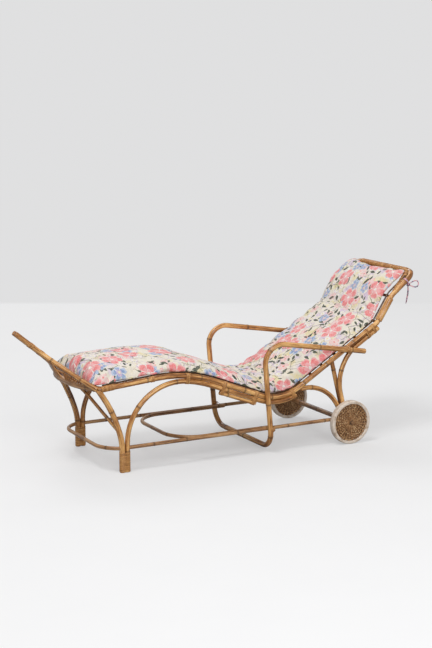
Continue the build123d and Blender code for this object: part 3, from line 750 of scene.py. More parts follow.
def wind(bm, line, poles, chance, width=CANE_WIDTH, pitch=None, lift=0.0, handed=1, hint=SIDEWAYS):
    """A flat strip wound along a line, round poles given as (sideways, rise, radius)."""
    pitch = pitch or width * CANE_PITCH / CANE_WIDTH
    steps = max(2, round((line.length - width) / pitch * WIND_STEPS))
    offset = chance.uniform(0, 50)
    start = chance.uniform(0, 2 * pi)
    spots = []
    for i in range(steps + 1):
        reach = width / 2 + (line.length - width) * i / steps
        angle = start + handed * 2 * pi * i / WIND_STEPS
        ahead = line.ahead(reach)
        rise = ahead.cross(hint).normalized()
        sideways = rise.cross(ahead)
        out = sideways * cos(angle) + rise * sin(angle)
        reaches = [x * cos(angle) + y * sin(angle) + radius for x, y, radius in poles]
        x, y, radius = poles[reaches.index(max(reaches))]
        middle = line.at(reach) + sideways * x + rise * y
        spots.append((middle + out * (radius + lift + CANE_HALF), out))
    places = []
    marks = [offset]
    for i, (spot, out) in enumerate(spots):
        before = spots[max(i - 1, 0)][0]
        after = spots[min(i + 1, steps)][0]
        ahead = (after - before).normalized()
        wide = out.cross(ahead).normalized()
        turned = Matrix((wide, ahead.cross(wide), ahead)).transposed()
        places.append(Matrix.Translation(spot) @ turned.to_4x4())
        if i:
            marks.append(marks[-1] + (spot - spots[i - 1][0]).length)
    sweep(bm, places, [(width / 2, CANE_HALF)] * len(places), marks, CANE_SIDES)


def straight(place, angle, length, side):
    """A short line through a station and height, at a heading."""
    ends = [along(place, angle, -length / 2), along(place, angle, length / 2)]
    return Line(at_side(ends, side))


FOOT_COLLAR = (0.051, 0.098)
FOOT_BINDINGS = ((0.050, 0.070), (0.277, 0.022))
KNEE_BINDING = 0.026
SEAT_BINDINGS = ((0.217, 0.024), (0.400, 0.028))
DIP_BINDING = (radians(21), 0.024)
BACK_BINDINGS = ((-0.075, 0.022), (-0.034, 0.022))
HEAD_WRAP = 0.050
HEAD_WOUND = 0.208
HANDLE_WRAP = 0.024
HANDLE_WRAPS = (0.222, 0.285)
on_rail = (0, 0, RAIL / 2)
beside_arch = (0, -under_rail, ARCH / 2)
beside_stiffener = (0, -stiffener_drop, STIFFENER / 2)
beside_rear_leg = (0, -rear_leg_drop, REAR_LEG / 2)

side_bindings = [
    (along(knee_centre, ARCH_TOP_HEADING, 0, KNEE_BEND), ARCH_TOP_HEADING, KNEE_BINDING,
     [on_rail, beside_arch]),
    (along(seat_centre, DIP_BINDING[0], 0, -SEAT_BEND), DIP_BINDING[0], DIP_BINDING[1],
     [on_rail, beside_arch]),
    ((arch_station, FOOT_COLLAR[0]), pi / 2, FOOT_COLLAR[1],
     [(0, 0, ARCH / 2), (0, arch_station - leg_station, LEG / 2)]),
]
for reach, length in FOOT_BINDINGS:
    side_bindings.append((along(FOOT_CORNER, foot_run, reach), foot_run, length, [on_rail]))
for reach, length in SEAT_BINDINGS:
    held = [on_rail, beside_arch, beside_stiffener]
    side_bindings.append((along(KNEE_CORNER, seat_run, reach), seat_run, length, held))
for reach, length in BACK_BINDINGS:
    held = [on_rail, beside_rear_leg]
    side_bindings.append((along(BACK_CORNER, back_run, reach), back_run, length, held))

# The rail's head is wound from above the sleeve, round the corner and along the top rail
HEAD_WIND = 0.0052
HEAD_OVERLAY = 0.021
HEAD_OVERLAY_SHARE = 0.6
head_hint = Vector((-sin(head_run), 0, cos(head_run)))
left_rail = Line(*rail_route)


def stretch(line, start, end, step=0.008):
    """The part of a line between two reaches."""
    count = ceil((end - start) / step)
    return Line([line.at(start + (end - start) * i / count) for i in range(count + 1)])


def wind_head(bm, line, chance):
    """Close turns of cane round the rail, with a narrow strip wound back over them."""
    wind(bm, line, [on_rail], chance, HEAD_WIND, hint=head_hint)
    overlay = HEAD_WIND * HEAD_OVERLAY_SHARE
    wind(bm, line, [on_rail], chance, overlay, HEAD_OVERLAY, 2 * CANE_HALF, -1, head_hint)


for side, side_name in SIDE_NAMES.items():
    bm = new_cane_mesh()
    chance = random.Random(f"bindings {side_name}")
    for place, angle, length, held in side_bindings:
        wind(bm, straight(place, angle, length, side * RAIL_SIDE), held, chance)
    head = stretch(left_rail, left_rail.length - HEAD_WOUND, left_rail.length - HEAD_WRAP / 2)
    head = Line([Vector((x, -side * y, z)) for x, y, z in head.points])
    wind_head(bm, head, chance)
    finish_piece(f"wound_bindings_{side_name}", bm, wrap_finish,
                 nodes=[f"side_bindings_{side_name}"])

# Lashings: strips crossed over the arm and the rail, and over the post and the stretcher
ARM_LASH = 0.017
ARM_LASH_SLANT = radians(24)
POST_LASH = 0.015
POST_LASH_SLANT = radians(42)
LASH_WIDTH = 0.0042
ARM_LASH_LIFT = 0.001
STRETCHER_LASH_LIFT = 0.002
POST_LASH_LIFT = 0.0015
arm_run = heading(ARM_FRONT, ARM_TIP)
arm_slope = tan(arm_run)
rail_slope = tan(back_run)
cross_station = (
    ARM_FRONT[1] - arm_slope * ARM_FRONT[0] - SEAT_CORNER[1] + rail_slope * SEAT_CORNER[0]
) / (rail_slope - arm_slope)
arm_cross = (cross_station, ARM_FRONT[1] + arm_slope * (cross_station - ARM_FRONT[0]))
post_cross = on_stretcher(POST_FOOT[0])
out_to_arm = arm_side - RAIL_SIDE
for side, side_name in SIDE_NAMES.items():
    bm = new_cane_mesh()
    chance = random.Random(f"lashings {side_name}")
    aside = side * out_to_arm
    arm_poles = [(0, 0, RAIL / 2 + ARM_LASH_LIFT), (aside, 0, ARM / 2 + ARM_LASH_LIFT)]
    post_poles = [(0, 0, STRETCHER / 2 + STRETCHER_LASH_LIFT), (aside, 0, ARM / 2 + POST_LASH_LIFT)]
    for slant, lift in ((1, 0), (-1, 2 * CANE_HALF)):
        middle_run = (arm_run + back_run) / 2 + slant * ARM_LASH_SLANT
        line = straight(arm_cross, middle_run, ARM_LASH, side * RAIL_SIDE)
        wind(bm, line, arm_poles, chance, LASH_WIDTH, lift=lift)
        line = straight(post_cross, slant * POST_LASH_SLANT, POST_LASH, side * RAIL_SIDE)
        wind(bm, line, post_poles, chance, LASH_WIDTH, lift=lift)
    finish_piece(f"crossed_lashings_{side_name}", bm, lash_finish,
                 nodes=[f"lashings_{side_name}"])

# Wraps of the top rail's joints, and of the two handle poles
bm = new_cane_mesh()
chance = random.Random("head")
for side in SIDE_NAMES:
    joint = at_side([HEAD_CORNER], side * top_rail_reach)[0]
    line = Line([joint + side * SIDEWAYS * HEAD_WRAP / 2, joint - side * SIDEWAYS * top_rail_reach])
    wind_head(bm, line, chance)
finish_piece("wound_head_bindings", bm, wrap_finish, nodes=["head_bindings"])

bm = new_cane_mesh()
chance = random.Random("handle")
for reach in HANDLE_WRAPS:
    line = Line([on_handle(reach - HANDLE_WRAP / 2, 0), on_handle(reach + HANDLE_WRAP / 2, 0)])
    wind(bm, line, [(end * handle_half_gap, 0, HANDLE / 2) for end in (-1, 1)], chance)
finish_piece("wound_handle_bindings", bm, wrap_finish, nodes=["handle_bindings"])

# Cane panel between the handle poles and the foot rail, which is wound crosswise
FOOT_WIND = 0.0056
FOOT_WIND_PITCH = 0.0185
FOOT_WIND_END = 0.042
FOOT_STRANDS = 2
handle_line = Line(*handle_route)
foot_rail_line = Line(*foot_rail_route)
bm = new_cane_mesh()
chance = random.Random("foot rail")
wound = stretch(foot_rail_line, FOOT_WIND_END, foot_rail_line.length - FOOT_WIND_END)
for handed, lift in ((1, 0), (-1, CANE_HALF)):
    for _ in range(FOOT_STRANDS):
        wind(bm, wound, [(0, 0, FOOT_RAIL / 2)], chance, FOOT_WIND, FOOT_WIND_PITCH, lift, handed, UPWARDS)
finish_piece("wound_foot_rail", bm, lash_finish)
panel_ends = []
for i in range(PANEL_CANES):
    upper = handle_line.at(PANEL_FIRST_REACH + i * PANEL_REACH_STEP)
    lower = foot_rail_line.at(PANEL_FIRST_REACH + i * PANEL_FOOT_STEP)
    panel_ends.append((upper, lower))
panel_ends += [tuple(other_side(ends)) for ends in panel_ends[::-1]]
bm = new_cane_mesh()
chance = random.Random("panel")
for ends in panel_ends:
    pole(bm, list(ends), [], PANEL_CANE, chance)

TWINE_ROWS = (0.12, 0.20, 0.28, 0.36, 0.44, 0.52, 0.60)
TWINE = 0.0036
TWINE_STEPS = 6
panel_out = Vector((-sin(HANDLE_SLOPE), 0, -cos(HANDLE_SLOPE)))
for row, share in enumerate(TWINE_ROWS):
    stops = [lower.lerp(upper, share) for upper, lower in panel_ends]
    for strand in (-1, 1):
        points = []
        for i, (a, b) in enumerate(zip(stops, stops[1:])):
            for step in range(TWINE_STEPS):
                part = step / TWINE_STEPS
                wave = cos(pi * (i + part + row)) * strand
                points.append(a.lerp(b, part) + panel_out * wave * (PANEL_CANE / 2 + TWINE))
        points.append(stops[-1])
        line = Line(points)
        places = line.frames(line.reaches)
        sweep(bm, places, [(TWINE, TWINE)] * len(places), line.reaches, CANE_SIDES)
finish_piece("cane_panel", bm, lash_finish, nodes=["panel_canes"])


# Wheels
RIM_STEPS = 96
RIM_ROUND = 0.006
RIM_ROUND_STEPS = 5
RIM_CHAMFER = 0.0012
GROOVE_REACHES = (0.0035, 0.0070)
GROOVE_HALF = 0.0007
GROOVE_DEPTH = 0.0008
STAKES = 30
STAKE = 0.0048
WEAVER = 0.0042
WEAVE_WAVE = 0.0030
WEAVE_PITCH = 0.0064
WEAVE_STEPS = 4
WEAVE_SIDES = 6
WEAVER_SHARES = (0.9, 1.08)
rim_inner = WHEEL / 2 - TYRE_THICKNESS
wheel_middle = RAIL_SIDE + REAR_LEG / 2 + WHEEL_GAP + TYRE_WIDTH / 2


def rim_half():
    """One half of the rim's section, from the bore outwards: radius, and distance from the middle."""
    wide = TYRE_WIDTH / 2
    outer = WHEEL / 2
    points = [(rim_inner, wide - RIM_CHAMFER), (rim_inner + RIM_CHAMFER, wide)]
    for reach in GROOVE_REACHES:
        groove = rim_inner + reach
        points += [(groove + GROOVE_HALF * edge, wide - GROOVE_DEPTH * (edge == 0)) for edge in (-1, 0, 1)]
    for i in range(RIM_ROUND_STEPS + 1):
        angle = pi / 2 * i / RIM_ROUND_STEPS
        points.append((outer - RIM_ROUND * (1 - sin(angle)), wide - RIM_ROUND * (1 - cos(angle))))
    return points


def rim_piece(side, side_name):
    """The rim, its section spun round the axle."""
    bm = bmesh.new()
    half = rim_half()
    section = half + [(radius, -reach) for radius, reach in half[::-1]]
    centre = Vector((axle_x, side * wheel_middle, WHEEL / 2))
    verts = [bm.verts.new(centre + Vector((0, reach, radius))) for radius, reach in section]
    edges = [bm.edges.new(pair) for pair in zip(verts, verts[1:] + verts[:1])]
    bmesh.ops.spin(bm, geom=verts + edges, cent=centre, axis=SIDEWAYS, angle=2 * pi, steps=RIM_STEPS,
                   use_merge=True)
    bmesh.ops.remove_doubles(bm, verts=bm.verts, dist=SEAM)
    body = f"wheel_{side_name}"
    finish_piece(f"rim_{side_name}", bm, rim_finish, body, [f"tyre_{side_name}"])


def woven_face(name, node, side_name, middle, outward):
    """A face of radial stakes with weavers going over and under them, round and round."""
    bm = new_cane_mesh()
    chance = random.Random(name)
    centre = Vector((axle_x, middle, WHEEL / 2))
    out = Vector((0, outward, 0))
    first = HUB / 2 + WEAVER / 2
    for i in range(STAKES):
        angle = 2 * pi * i / STAKES
        spoke = Vector((cos(angle), 0, sin(angle)))
        line = Line([centre + spoke * HUB / 2, centre + spoke * rim_inner])
        places = line.frames([0, line.length])
        sweep(bm, places, [(STAKE / 2, STAKE / 2)] * 2, [i, i + line.length], WEAVE_SIDES)
    rows = int((rim_inner - WEAVER / 2 - first) / WEAVE_PITCH) + 1
    for row in range(rows):
        radius = first + row * WEAVE_PITCH
        steps = STAKES * WEAVE_STEPS
        offset = chance.uniform(0, 50)
        thick = WEAVER / 2 * chance.uniform(*WEAVER_SHARES)
        spots = []
        for i in range(steps):
            angle = 2 * pi * i / steps
            wave = cos(STAKES / 2 * angle + pi * row)
            spoke = Vector((cos(angle), 0, sin(angle)))
            spots.append((centre + spoke * radius + out * WEAVE_WAVE * wave, spoke))
        places = []
        for i, (spot, spoke) in enumerate(spots):
            ahead = (spots[(i + 1) % steps][0] - spots[i - 1][0]).normalized()
            turned = Matrix((ahead.cross(spoke), spoke, ahead)).transposed()
            places.append(Matrix.Translation(spot) @ turned.to_4x4())
        reaches = [offset + radius * 2 * pi * i / steps for i in range(steps + 1)]
        sweep(bm, places + places[:1], [(thick, thick)] * (steps + 1), reaches, WEAVE_SIDES, closed=True)
    finish_piece(name, bm, weave_finish, f"wheel_{side_name}", [node])


def paint(node, material):
    """Gives a node's own mesh a finish."""
    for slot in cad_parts[node].material_slots:
        slot.material = material


face_reach = DISC_THICKNESS / 2 + STAKE / 2 + WEAVE_WAVE / 2
for side, side_name in SIDE_NAMES.items():
    rim_piece(side, side_name)
    for face, outward in (("outer", side), ("inner", -side)):
        woven_face(f"woven_{face}_{side_name}", f"cane_facing_{face}_{side_name}", side_name,
                   side * wheel_middle + outward * face_reach, outward)
    paint(f"wheel_disc_{side_name}", disc_painted_shade_finish)
    paint(f"wheel_hub_{side_name}", cap_finish)
    paint(f"axle_cap_{side_name}", cap_finish)
paint("axle_rod", steel_finish)
paint("axle_washers", steel_finish)


# Printed cloth, in linear colours
CREAM = (0.82, 0.76, 0.65)
PALE_YELLOW = (0.80, 0.70, 0.42)
CORAL = (0.83, 0.19, 0.20)
ROSE = (0.86, 0.36, 0.38)
PALE_PINK = (0.85, 0.60, 0.57)
BLUE = (0.20, 0.31, 0.55)
PALE_BLUE = (0.42, 0.52, 0.70)
LILAC = (0.52, 0.38, 0.60)
PALE_LILAC = (0.68, 0.56, 0.70)
LEAF_GREEN = (0.022, 0.045, 0.034)
OLIVE = (0.20, 0.19, 0.09)
WHITE = (0.86, 0.82, 0.76)
THREAD_PITCH = 0.0011


def scatter(tree, cloth, spacing, shift, loose):
    """The place seen from the nearest of many scattered spots, and three chance values of that spot."""
    moved = vector_calc(tree, "ADD", cloth, (*shift, 0))
    cells = put(tree, "ShaderNodeTexVoronoi", {"Vector": moved, "Scale": 1 / spacing, "Randomness": loose},
                voronoi_dimensions="2D")
    local = vector_calc(tree, "SUBTRACT", moved, cells.outputs["Position"])
    place = put(tree, "ShaderNodeSeparateXYZ", {"Vector": local})
    chances = put(tree, "ShaderNodeSeparateColor", {"Color": cells.outputs["Color"]})
    return place.outputs["X"], place.outputs["Y"], chances.outputs


def blossoms(tree, cloth, spacing, shift, radius, petals, filled, stops):
    """Round blossoms with lobed petals: where they are, and their colours from the middle out."""
    x, y, chances = scatter(tree, cloth, spacing, shift, 0.75)
    angle = calc(tree, "MULTIPLY_ADD", chances[0], 2 * pi, calc(tree, "ARCTAN2", y, x))
    lobe = calc(tree, "ABSOLUTE", calc(tree, "COSINE", calc(tree, "MULTIPLY", angle, petals / 2)))
    size = between(tree, chances[1], 0, 1, 0.68 * radius, radius)
    reach = calc(tree, "MULTIPLY", size, between(tree, lobe, 0, 0.8, 0.66, 1.0))
    away = calc(tree, "SQRT", calc(tree, "MULTIPLY_ADD", x, x, calc(tree, "MULTIPLY", y, y)))
    share = calc(tree, "DIVIDE", away, reach)
    there = calc(tree, "MULTIPLY", calc(tree, "LESS_THAN", share, 1.0),
                 calc(tree, "LESS_THAN", chances[2], filled))
    notch = calc(tree, "LESS_THAN", lobe, 0.16)
    gap = calc(tree, "MULTIPLY", notch, calc(tree, "GREATER_THAN", share, 0.3))
    return there, mixed(tree, gap, ramp(tree, share, *stops, blend="CONSTANT"), WHITE)


def leaves(tree, cloth, spacing, shift, length, filled):
    """Almond leaves at all angles: where they are, and where their pale ribs are."""
    x, y, chances = scatter(tree, cloth, spacing, shift, 0.9)
    angle = calc(tree, "MULTIPLY", chances[0], 2 * pi)
    sine = calc(tree, "SINE", angle)
    cosine = calc(tree, "COSINE", angle)
    ahead = calc(tree, "MULTIPLY_ADD", x, cosine, calc(tree, "MULTIPLY", y, sine))
    aside = calc(tree, "SUBTRACT", calc(tree, "MULTIPLY", y, cosine), calc(tree, "MULTIPLY", x, sine))
    share = calc(tree, "DIVIDE", ahead, length / 2)
    wide = calc(tree, "MULTIPLY_ADD", calc(tree, "MULTIPLY", share, share), -0.19 * length, 0.19 * length)
    off = calc(tree, "ABSOLUTE", aside)
    there = calc(tree, "MULTIPLY", calc(tree, "LESS_THAN", off, wide),
                 calc(tree, "LESS_THAN", chances[2], filled))
    return there, calc(tree, "LESS_THAN", off, 0.022 * length)


def stems(tree, cloth, spacing, shift, thick):
    """Fine wandering lines."""
    moved = vector_calc(tree, "ADD", cloth, (*shift, 0))
    lines = put(tree, "ShaderNodeTexVoronoi", {"Vector": moved, "Scale": 1 / spacing, "Randomness": 1.0},
                voronoi_dimensions="2D", feature="DISTANCE_TO_EDGE")
    near = calc(tree, "LESS_THAN", lines.outputs["Distance"], thick / spacing)
    kept = calc(tree, "GREATER_THAN", speckle(tree, moved, scale=9, detail=1), 0.5)
    return calc(tree, "MULTIPLY", near, kept)


def garden_print(tree, cloth):
    """The colour of the print at a place on the cloth, in metres."""
    drift = put(tree, "ShaderNodeTexNoise", {"Vector": cloth, "Scale": 55.0, "Detail": 2.0})
    drift = vector_calc(tree, "SUBTRACT", drift.outputs["Color"], (0.5, 0.5, 0.5))
    hand = vector_calc(tree, "MULTIPLY_ADD", drift, (0.013, 0.013, 0), cloth)
    wash = speckle(tree, cloth, scale=14, detail=2)
    colour = ramp(tree, wash, (0.36, PALE_YELLOW), (0.46, CREAM), (0.56, CREAM), (0.66, PALE_LILAC))
    lines = ((0.052, (0.3, 0.1), 0.0017, 0.8, OLIVE), (0.036, (1.7, 0.4), 0.0012, 0.7, LILAC))
    for spacing, shift, thick, strength, ink in lines:
        there = calc(tree, "MULTIPLY", stems(tree, hand, spacing, shift, thick), strength)
        colour = mixed(tree, there, colour, ink)
    small = ((0, PALE_YELLOW), (0.3, WHITE), (0.86, LILAC))
    soft = ((0, CORAL), (0.2, PALE_PINK), (0.9, ROSE))
    blue = ((0, PALE_YELLOW), (0.18, LILAC), (0.4, BLUE), (0.74, PALE_BLUE))
    coral = ((0, WHITE), (0.16, ROSE), (0.5, CORAL), (0.88, ROSE))
    beds = (
        (0.054, (0.9, 2.3), 0.022, 7, 0.36, small),
        (0.072, (2.1, 0.7), 0.031, 6, 0.36, soft),
        (0.094, (3.7, 1.9), 0.038, 5, 0.40, blue),
        (0.128, (5.2, 3.1), 0.061, 5, 0.60, coral),
    )
    foliage = ((0.056, (0.2, 0.9), 0.041, 0.55), (0.043, (4.1, 2.2), 0.030, 0.45))
    for bed in beds[:2]:
        there, tint = blossoms(tree, hand, *bed)
        colour = mixed(tree, there, colour, tint)
    for sprig in foliage:
        there, rib = leaves(tree, hand, *sprig)
        colour = mixed(tree, there, colour, mixed(tree, rib, LEAF_GREEN, OLIVE))
    for bed in beds[2:]:
        there, tint = blossoms(tree, hand, *bed)
        streak = between(tree, speckle(tree, hand, scale=160, detail=2), 0.45, 0.62, 0.0, 0.3)
        colour = mixed(tree, there, colour, mixed(tree, streak, tint, WHITE))
    return colour


def printed_cloth():
    """The pad's cotton: a printed garden on a plain weave, a little slubbed and faded."""

    def build(tree, shader):
        cloth = put(tree, "ShaderNodeUVMap", uv_map="print").outputs["UV"]
        place = put(tree, "ShaderNodeSeparateXYZ", {"Vector": cloth})
        colour = garden_print(tree, cloth)
        fade = speckle(tree, cloth, scale=7, detail=3)
        colour = mixed(tree, between(tree, fade, 0.4, 0.7, 0.0, 0.14), colour, CREAM)
        turn = 2 * pi / THREAD_PITCH
        warp, weft = (
            calc(tree, "SINE", calc(tree, "MULTIPLY", place.outputs[way], turn)) for way in "XY"
        )
        slub = speckle(tree, scaled(tree, cloth, (900, 120, 1)), detail=2)
        weave = calc(tree, "MULTIPLY_ADD", calc(tree, "MULTIPLY", warp, weft), 0.4, slub)
        crease = speckle(tree, cloth, scale=26, detail=3, rough=0.5, distort=0.8)
        creased = bumped(tree, crease, 0.022, 0.55)
        rough = between(tree, slub, 0.3, 0.7, 0.8, 0.95)
        fine = {"Height": weave, "Distance": 0.0005, "Strength": 0.35, "Normal": creased}
        dress(tree, shader, colour, rough, put(tree, "ShaderNodeBump", fine).outputs["Normal"])
        shader.inputs["Sheen Weight"].default_value = 0.12

    return finish_material("printed_cotton", build)


def tie_cloth():
    """Narrow strips of the same print."""

    def build(tree, shader):
        place = object_place(tree)
        spots = speckle(tree, place, scale=70, detail=2)
        colour = ramp(tree, spots, (0.34, CREAM), (0.40, PALE_PINK), (0.46, ROSE), (0.53, LILAC),
                      (0.60, LEAF_GREEN))
        weave = speckle(tree, place, scale=1500, detail=2)
        rough = between(tree, weave, 0.3, 0.7, 0.8, 0.95)
        dress(tree, shader, colour, rough, bumped(tree, weave, 0.0003, 0.4))
        shader.inputs["Sheen Weight"].default_value = 0.12

    return finish_material("tie_cotton", build)


# Pad
PAD_HALF = 0.272
PAD_HEAD_HALF = 0.240
PAD_HEAD_SHARE = 0.80
PAD_NARROWING = 0.10
PAD_CORNER = 0.040
PAD_CORNER_IN = 0.016
PAD_START = -0.012
PAD_STOP = 0.008
PAD_EDGE = 0.026
PAD_DROOP = 0.0026
PAD_OVER_CANES = 0.254
PAD_DROOP_SPREAD = 0.006
PAD_CROWN = 0.042
PAD_FOOT_SWELL = 0.040
PAD_FOOT_SHARE = 0.3
PAD_END_TAPER = 0.05
PAD_HEAD_SLANT = 0.004
PAD_HEAD_SAG = 0.034
PAD_SLANT_FROM = 0.16
PAD_BULGE = 0.016
PAD_BULGE_SPREAD = 0.11
PAD_STEP = 0.025
PAD_SIDES = 48
PAD_VOXEL = 0.010
PAD_CAP = 0.014
PAD_LAID = 0.004
PAD_FRAMES = 20
PAD_SLACK = -0.035
PAD_FOLD = 0.0075
PAD_FOLD_PITCH = 0.062
PAD_FOLD_SPREAD = 0.16
PAD_FOLD_LEAN = 1.6
PAD_SIDE_SQUARE = 0.42
PAD_UNDER_SQUARE = 0.3
PAD_TOP_SQUARE = 0.5
PAD_END_FULL = 0.55
PAD_LUMPS = ((0.008, 5, 5, 7), (0.006, 11, 14, 3))
PAD_SAMPLES = 600
PAD_PRINT_INSET = 0.025
PAD_PRINT_TURN = 0.03

pad_rise = deck_rise + DECK_CANE / 2 + PAD_GAP
pad_corners, pad_bends = parallel(rail_corners, rail_bends, pad_rise)
pad_corners[0] = along(pad_corners[0], foot_run, PAD_START)
pad_corners[-1] = along(pad_corners[-1], head_run, -PAD_STOP)
pad_line = Line(at_side(pad_corners, 0), pad_bends)
dip_reach = min(range(0, int(pad_line.length * 1000)), key=lambda mm: pad_line.at(mm / 1000).z) / 1000


def pad_place(reach):
    """A frame of the pad's underside: sideways, up from the deck, and along it."""
    ahead = pad_line.ahead(reach)
    rise = ahead.cross(SIDEWAYS)
    return Matrix.Translation(pad_line.at(reach)) @ Matrix((SIDEWAYS, rise, ahead)).transposed().to_4x4()


def pad_half(reach, side):
    """The pad's reach to a side, less at the head's left, and rounded off at its corners."""
    share = reach / pad_line.length
    narrowed = min(1, max(0, (share - PAD_HEAD_SHARE) / PAD_NARROWING)) if side < 0 else 0
    to_end = min(1, max(0, min(reach, pad_line.length - reach) / PAD_CORNER))
    rounded = 1 - (1 - (1 - to_end) ** 2) ** 0.5
    return PAD_HALF - narrowed * (PAD_HALF - PAD_HEAD_HALF) - PAD_CORNER_IN * rounded


def pad_point(cosine, sine, reach):
    """A point of the pad's section, from its place on a circle."""
    share = reach / pad_line.length
    side = 1 if cosine > 0 else -1
    half = pad_half(reach, side)
    aside = side * half * abs(cosine) ** PAD_SIDE_SQUARE
    to_end = min(1, max(0, min(reach, pad_line.length - reach) / PAD_END_TAPER))
    full = PAD_END_FULL + (1 - PAD_END_FULL) * (1 - (1 - to_end) ** 2) ** 0.5
    near_dip = exp(-((reach - dip_reach) / PAD_FOLD_SPREAD) ** 2)
    crown = PAD_CROWN + PAD_FOOT_SWELL * max(0, 1 - share / PAD_FOOT_SHARE)
    crown += PAD_BULGE * exp(-((reach - dip_reach) / PAD_BULGE_SPREAD) ** 2)
    top = full * (PAD_EDGE + (crown - PAD_EDGE) * (1 - (aside / half) ** 2))
    middle = full * PAD_EDGE / 2
    near_head = max(0, 1 - (pad_line.length - reach) / PAD_SLANT_FROM)
    slant = near_head * (PAD_HEAD_SLANT * aside / half - PAD_HEAD_SAG * (1 - (aside / half) ** 2))
    if sine <= 0:
        return Vector((aside, middle - middle * abs(sine) ** PAD_UNDER_SQUARE, slant))
    lean = noise.noise((aside * 3, reach * 4, 2)) * PAD_FOLD_LEAN
    fold = PAD_FOLD * near_dip * sin(2 * pi * (reach / PAD_FOLD_PITCH + lean))
    lump = sum(high * noise.noise((aside * x, reach * y, z)) for high, x, y, z in PAD_LUMPS)
    return Vector((aside, middle + (top - middle + fold + lump) * sine ** PAD_TOP_SQUARE, slant))


def new_mesh_object(name, mesh):
    """Links a mesh into the scene."""
    made = bpy.data.objects.new(name, mesh)
    bpy.context.collection.objects.link(made)
    return made


def made_mesh(piece):
    """The mesh that a piece's modifiers give."""
    ready = piece.evaluated_get(bpy.context.evaluated_depsgraph_get())
    return bpy.data.meshes.new_from_object(ready)


def slack_pad():
    """The pad before it is filled: sections along the deck, then even small faces."""
    bm = new_cane_mesh()
    grain = bm.verts.layers.float_vector["grain"]
    count = ceil(pad_line.length / PAD_STEP)
    reaches = [pad_line.length * i / count for i in range(count + 1)]
    sweep(bm, [pad_place(reach) for reach in reaches], [(1, 1)] * len(reaches), reaches, PAD_SIDES)
    for vert in bm.verts:
        cosine, sine, reach = vert[grain]
        vert.co = pad_place(reach) @ pad_point(cosine, sine, reach)
    bmesh.ops.triangulate(bm, faces=[face for face in bm.faces if len(face.verts) > 4])
    bmesh.ops.recalc_face_normals(bm, faces=bm.faces)
    mesh = bpy.data.meshes.new("pad_shape")
    bm.to_mesh(mesh)
    bm.free()
    shape = new_mesh_object("pad_shape", mesh)
    remesh = shape.modifiers.new("even", "REMESH")
    remesh.mode = "VOXEL"
    remesh.voxel_size = PAD_VOXEL
    even = made_mesh(shape)
    bpy.data.objects.remove(shape)
    return even


def pad_places(points):
    """Reach along the pad and rise above the deck of points, found on the pad's line."""
    reaches = np.linspace(0, pad_line.length, PAD_SAMPLES)
    line = np.array([pad_line.at(reach)[:] for reach in reaches])[:, (0, 2)]
    ahead = np.array([pad_line.ahead(reach)[:] for reach in reaches])[:, (0, 2)]
    flat = points[:, (0, 2)]
    nearest = np.argmin(((flat[:, None, :] - line[None]) ** 2).sum(axis=2), axis=1)
    away = flat - line[nearest]
    reach = reaches[nearest] + (away * ahead[nearest]).sum(axis=1)
    rise = away[:, 1] * ahead[nearest, 0] - away[:, 0] * ahead[nearest, 1]
    return reach, rise, ahead[nearest]


def mesh_points(mesh):
    """A mesh's points as rows."""
    points = np.empty(len(mesh.vertices) * 3, np.float32)
    mesh.vertices.foreach_get("co", points)
    return points.reshape(-1, 3).astype(float)


def fill_pad(pad):
    """Blows the pad up like a filled cushion, laid on the deck, and keeps the result."""
    start = mesh_points(pad.data)
    rise = pad_places(start)[1]
    laid = pad.vertex_groups.new(name="laid")
    laid.add([int(i) for i in np.nonzero(rise < PAD_LAID)[0]], 1.0, "REPLACE")
    cloth = pad.modifiers.new("fill", "CLOTH")
    cloth.settings.quality = 5
    cloth.settings.mass = 0.2
    cloth.settings.tension_stiffness = 12
    cloth.settings.compression_stiffness = 12
    cloth.settings.bending_stiffness = 0.6
    cloth.settings.use_pressure = True
    cloth.settings.uniform_pressure_force = 4
    cloth.settings.shrink_min = PAD_SLACK
    cloth.settings.effector_weights.gravity = 0
    cloth.settings.vertex_group_mass = "laid"
    cloth.point_cache.frame_start = 1
    cloth.point_cache.frame_end = PAD_FRAMES
    for number in range(1, PAD_FRAMES + 1):
        bpy.context.scene.frame_set(number)
    moved = mesh_points(made_mesh(pad)) - start
    pad.modifiers.remove(cloth)
    bpy.context.scene.frame_set(1)
    far = np.linalg.norm(moved, axis=1, keepdims=True)
    points = start + moved * np.minimum(1, PAD_CAP / np.maximum(far, 1e-9))
    pad.data.vertices.foreach_set("co", points.astype(np.float32).ravel())


def settle_pad(pad):
    """Keeps the pad on top of the deck, and maps the cloth's own measure onto it."""
    points = mesh_points(pad.data)
    reach, rise, ahead = pad_places(points)
    overhang = np.clip((np.abs(points[:, 1]) - PAD_OVER_CANES) / PAD_DROOP_SPREAD, 0, 1)
    lift = np.maximum(0, -rise) - PAD_DROOP * overhang * np.clip(1 - rise / PAD_EDGE, 0, 1)
    points[:, 0] -= lift * ahead[:, 1]
    points[:, 2] += lift * ahead[:, 0]
    pad.data.vertices.foreach_set("co", points.astype(np.float32).ravel())
    pad.data.update()
    edge = np.clip((np.abs(points[:, 1]) - PAD_HALF + PAD_PRINT_INSET) / PAD_PRINT_TURN, 0, 1)
    wide = points[:, 1] + np.sign(points[:, 1]) * edge * np.maximum(0, PAD_EDGE - rise)
    uv = np.stack([wide, reach], axis=1)
    corners = np.empty(len(pad.data.loops), np.int32)
    pad.data.loops.foreach_get("vertex_index", corners)
    pad.data.uv_layers.new(name="print").data.foreach_set("uv", uv[corners].astype(np.float32).ravel())


pad = new_mesh_object("floral_pad", slack_pad())
fill_pad(pad)
settle_pad(pad)
pad.data.shade_smooth()
pad.data.materials.clear()
pad.data.materials.append(printed_cloth())
finer = pad.modifiers.new("finer", "SUBSURF")
finer.levels = 1
finer.render_levels = 1
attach(pad, "frame")
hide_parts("pad")

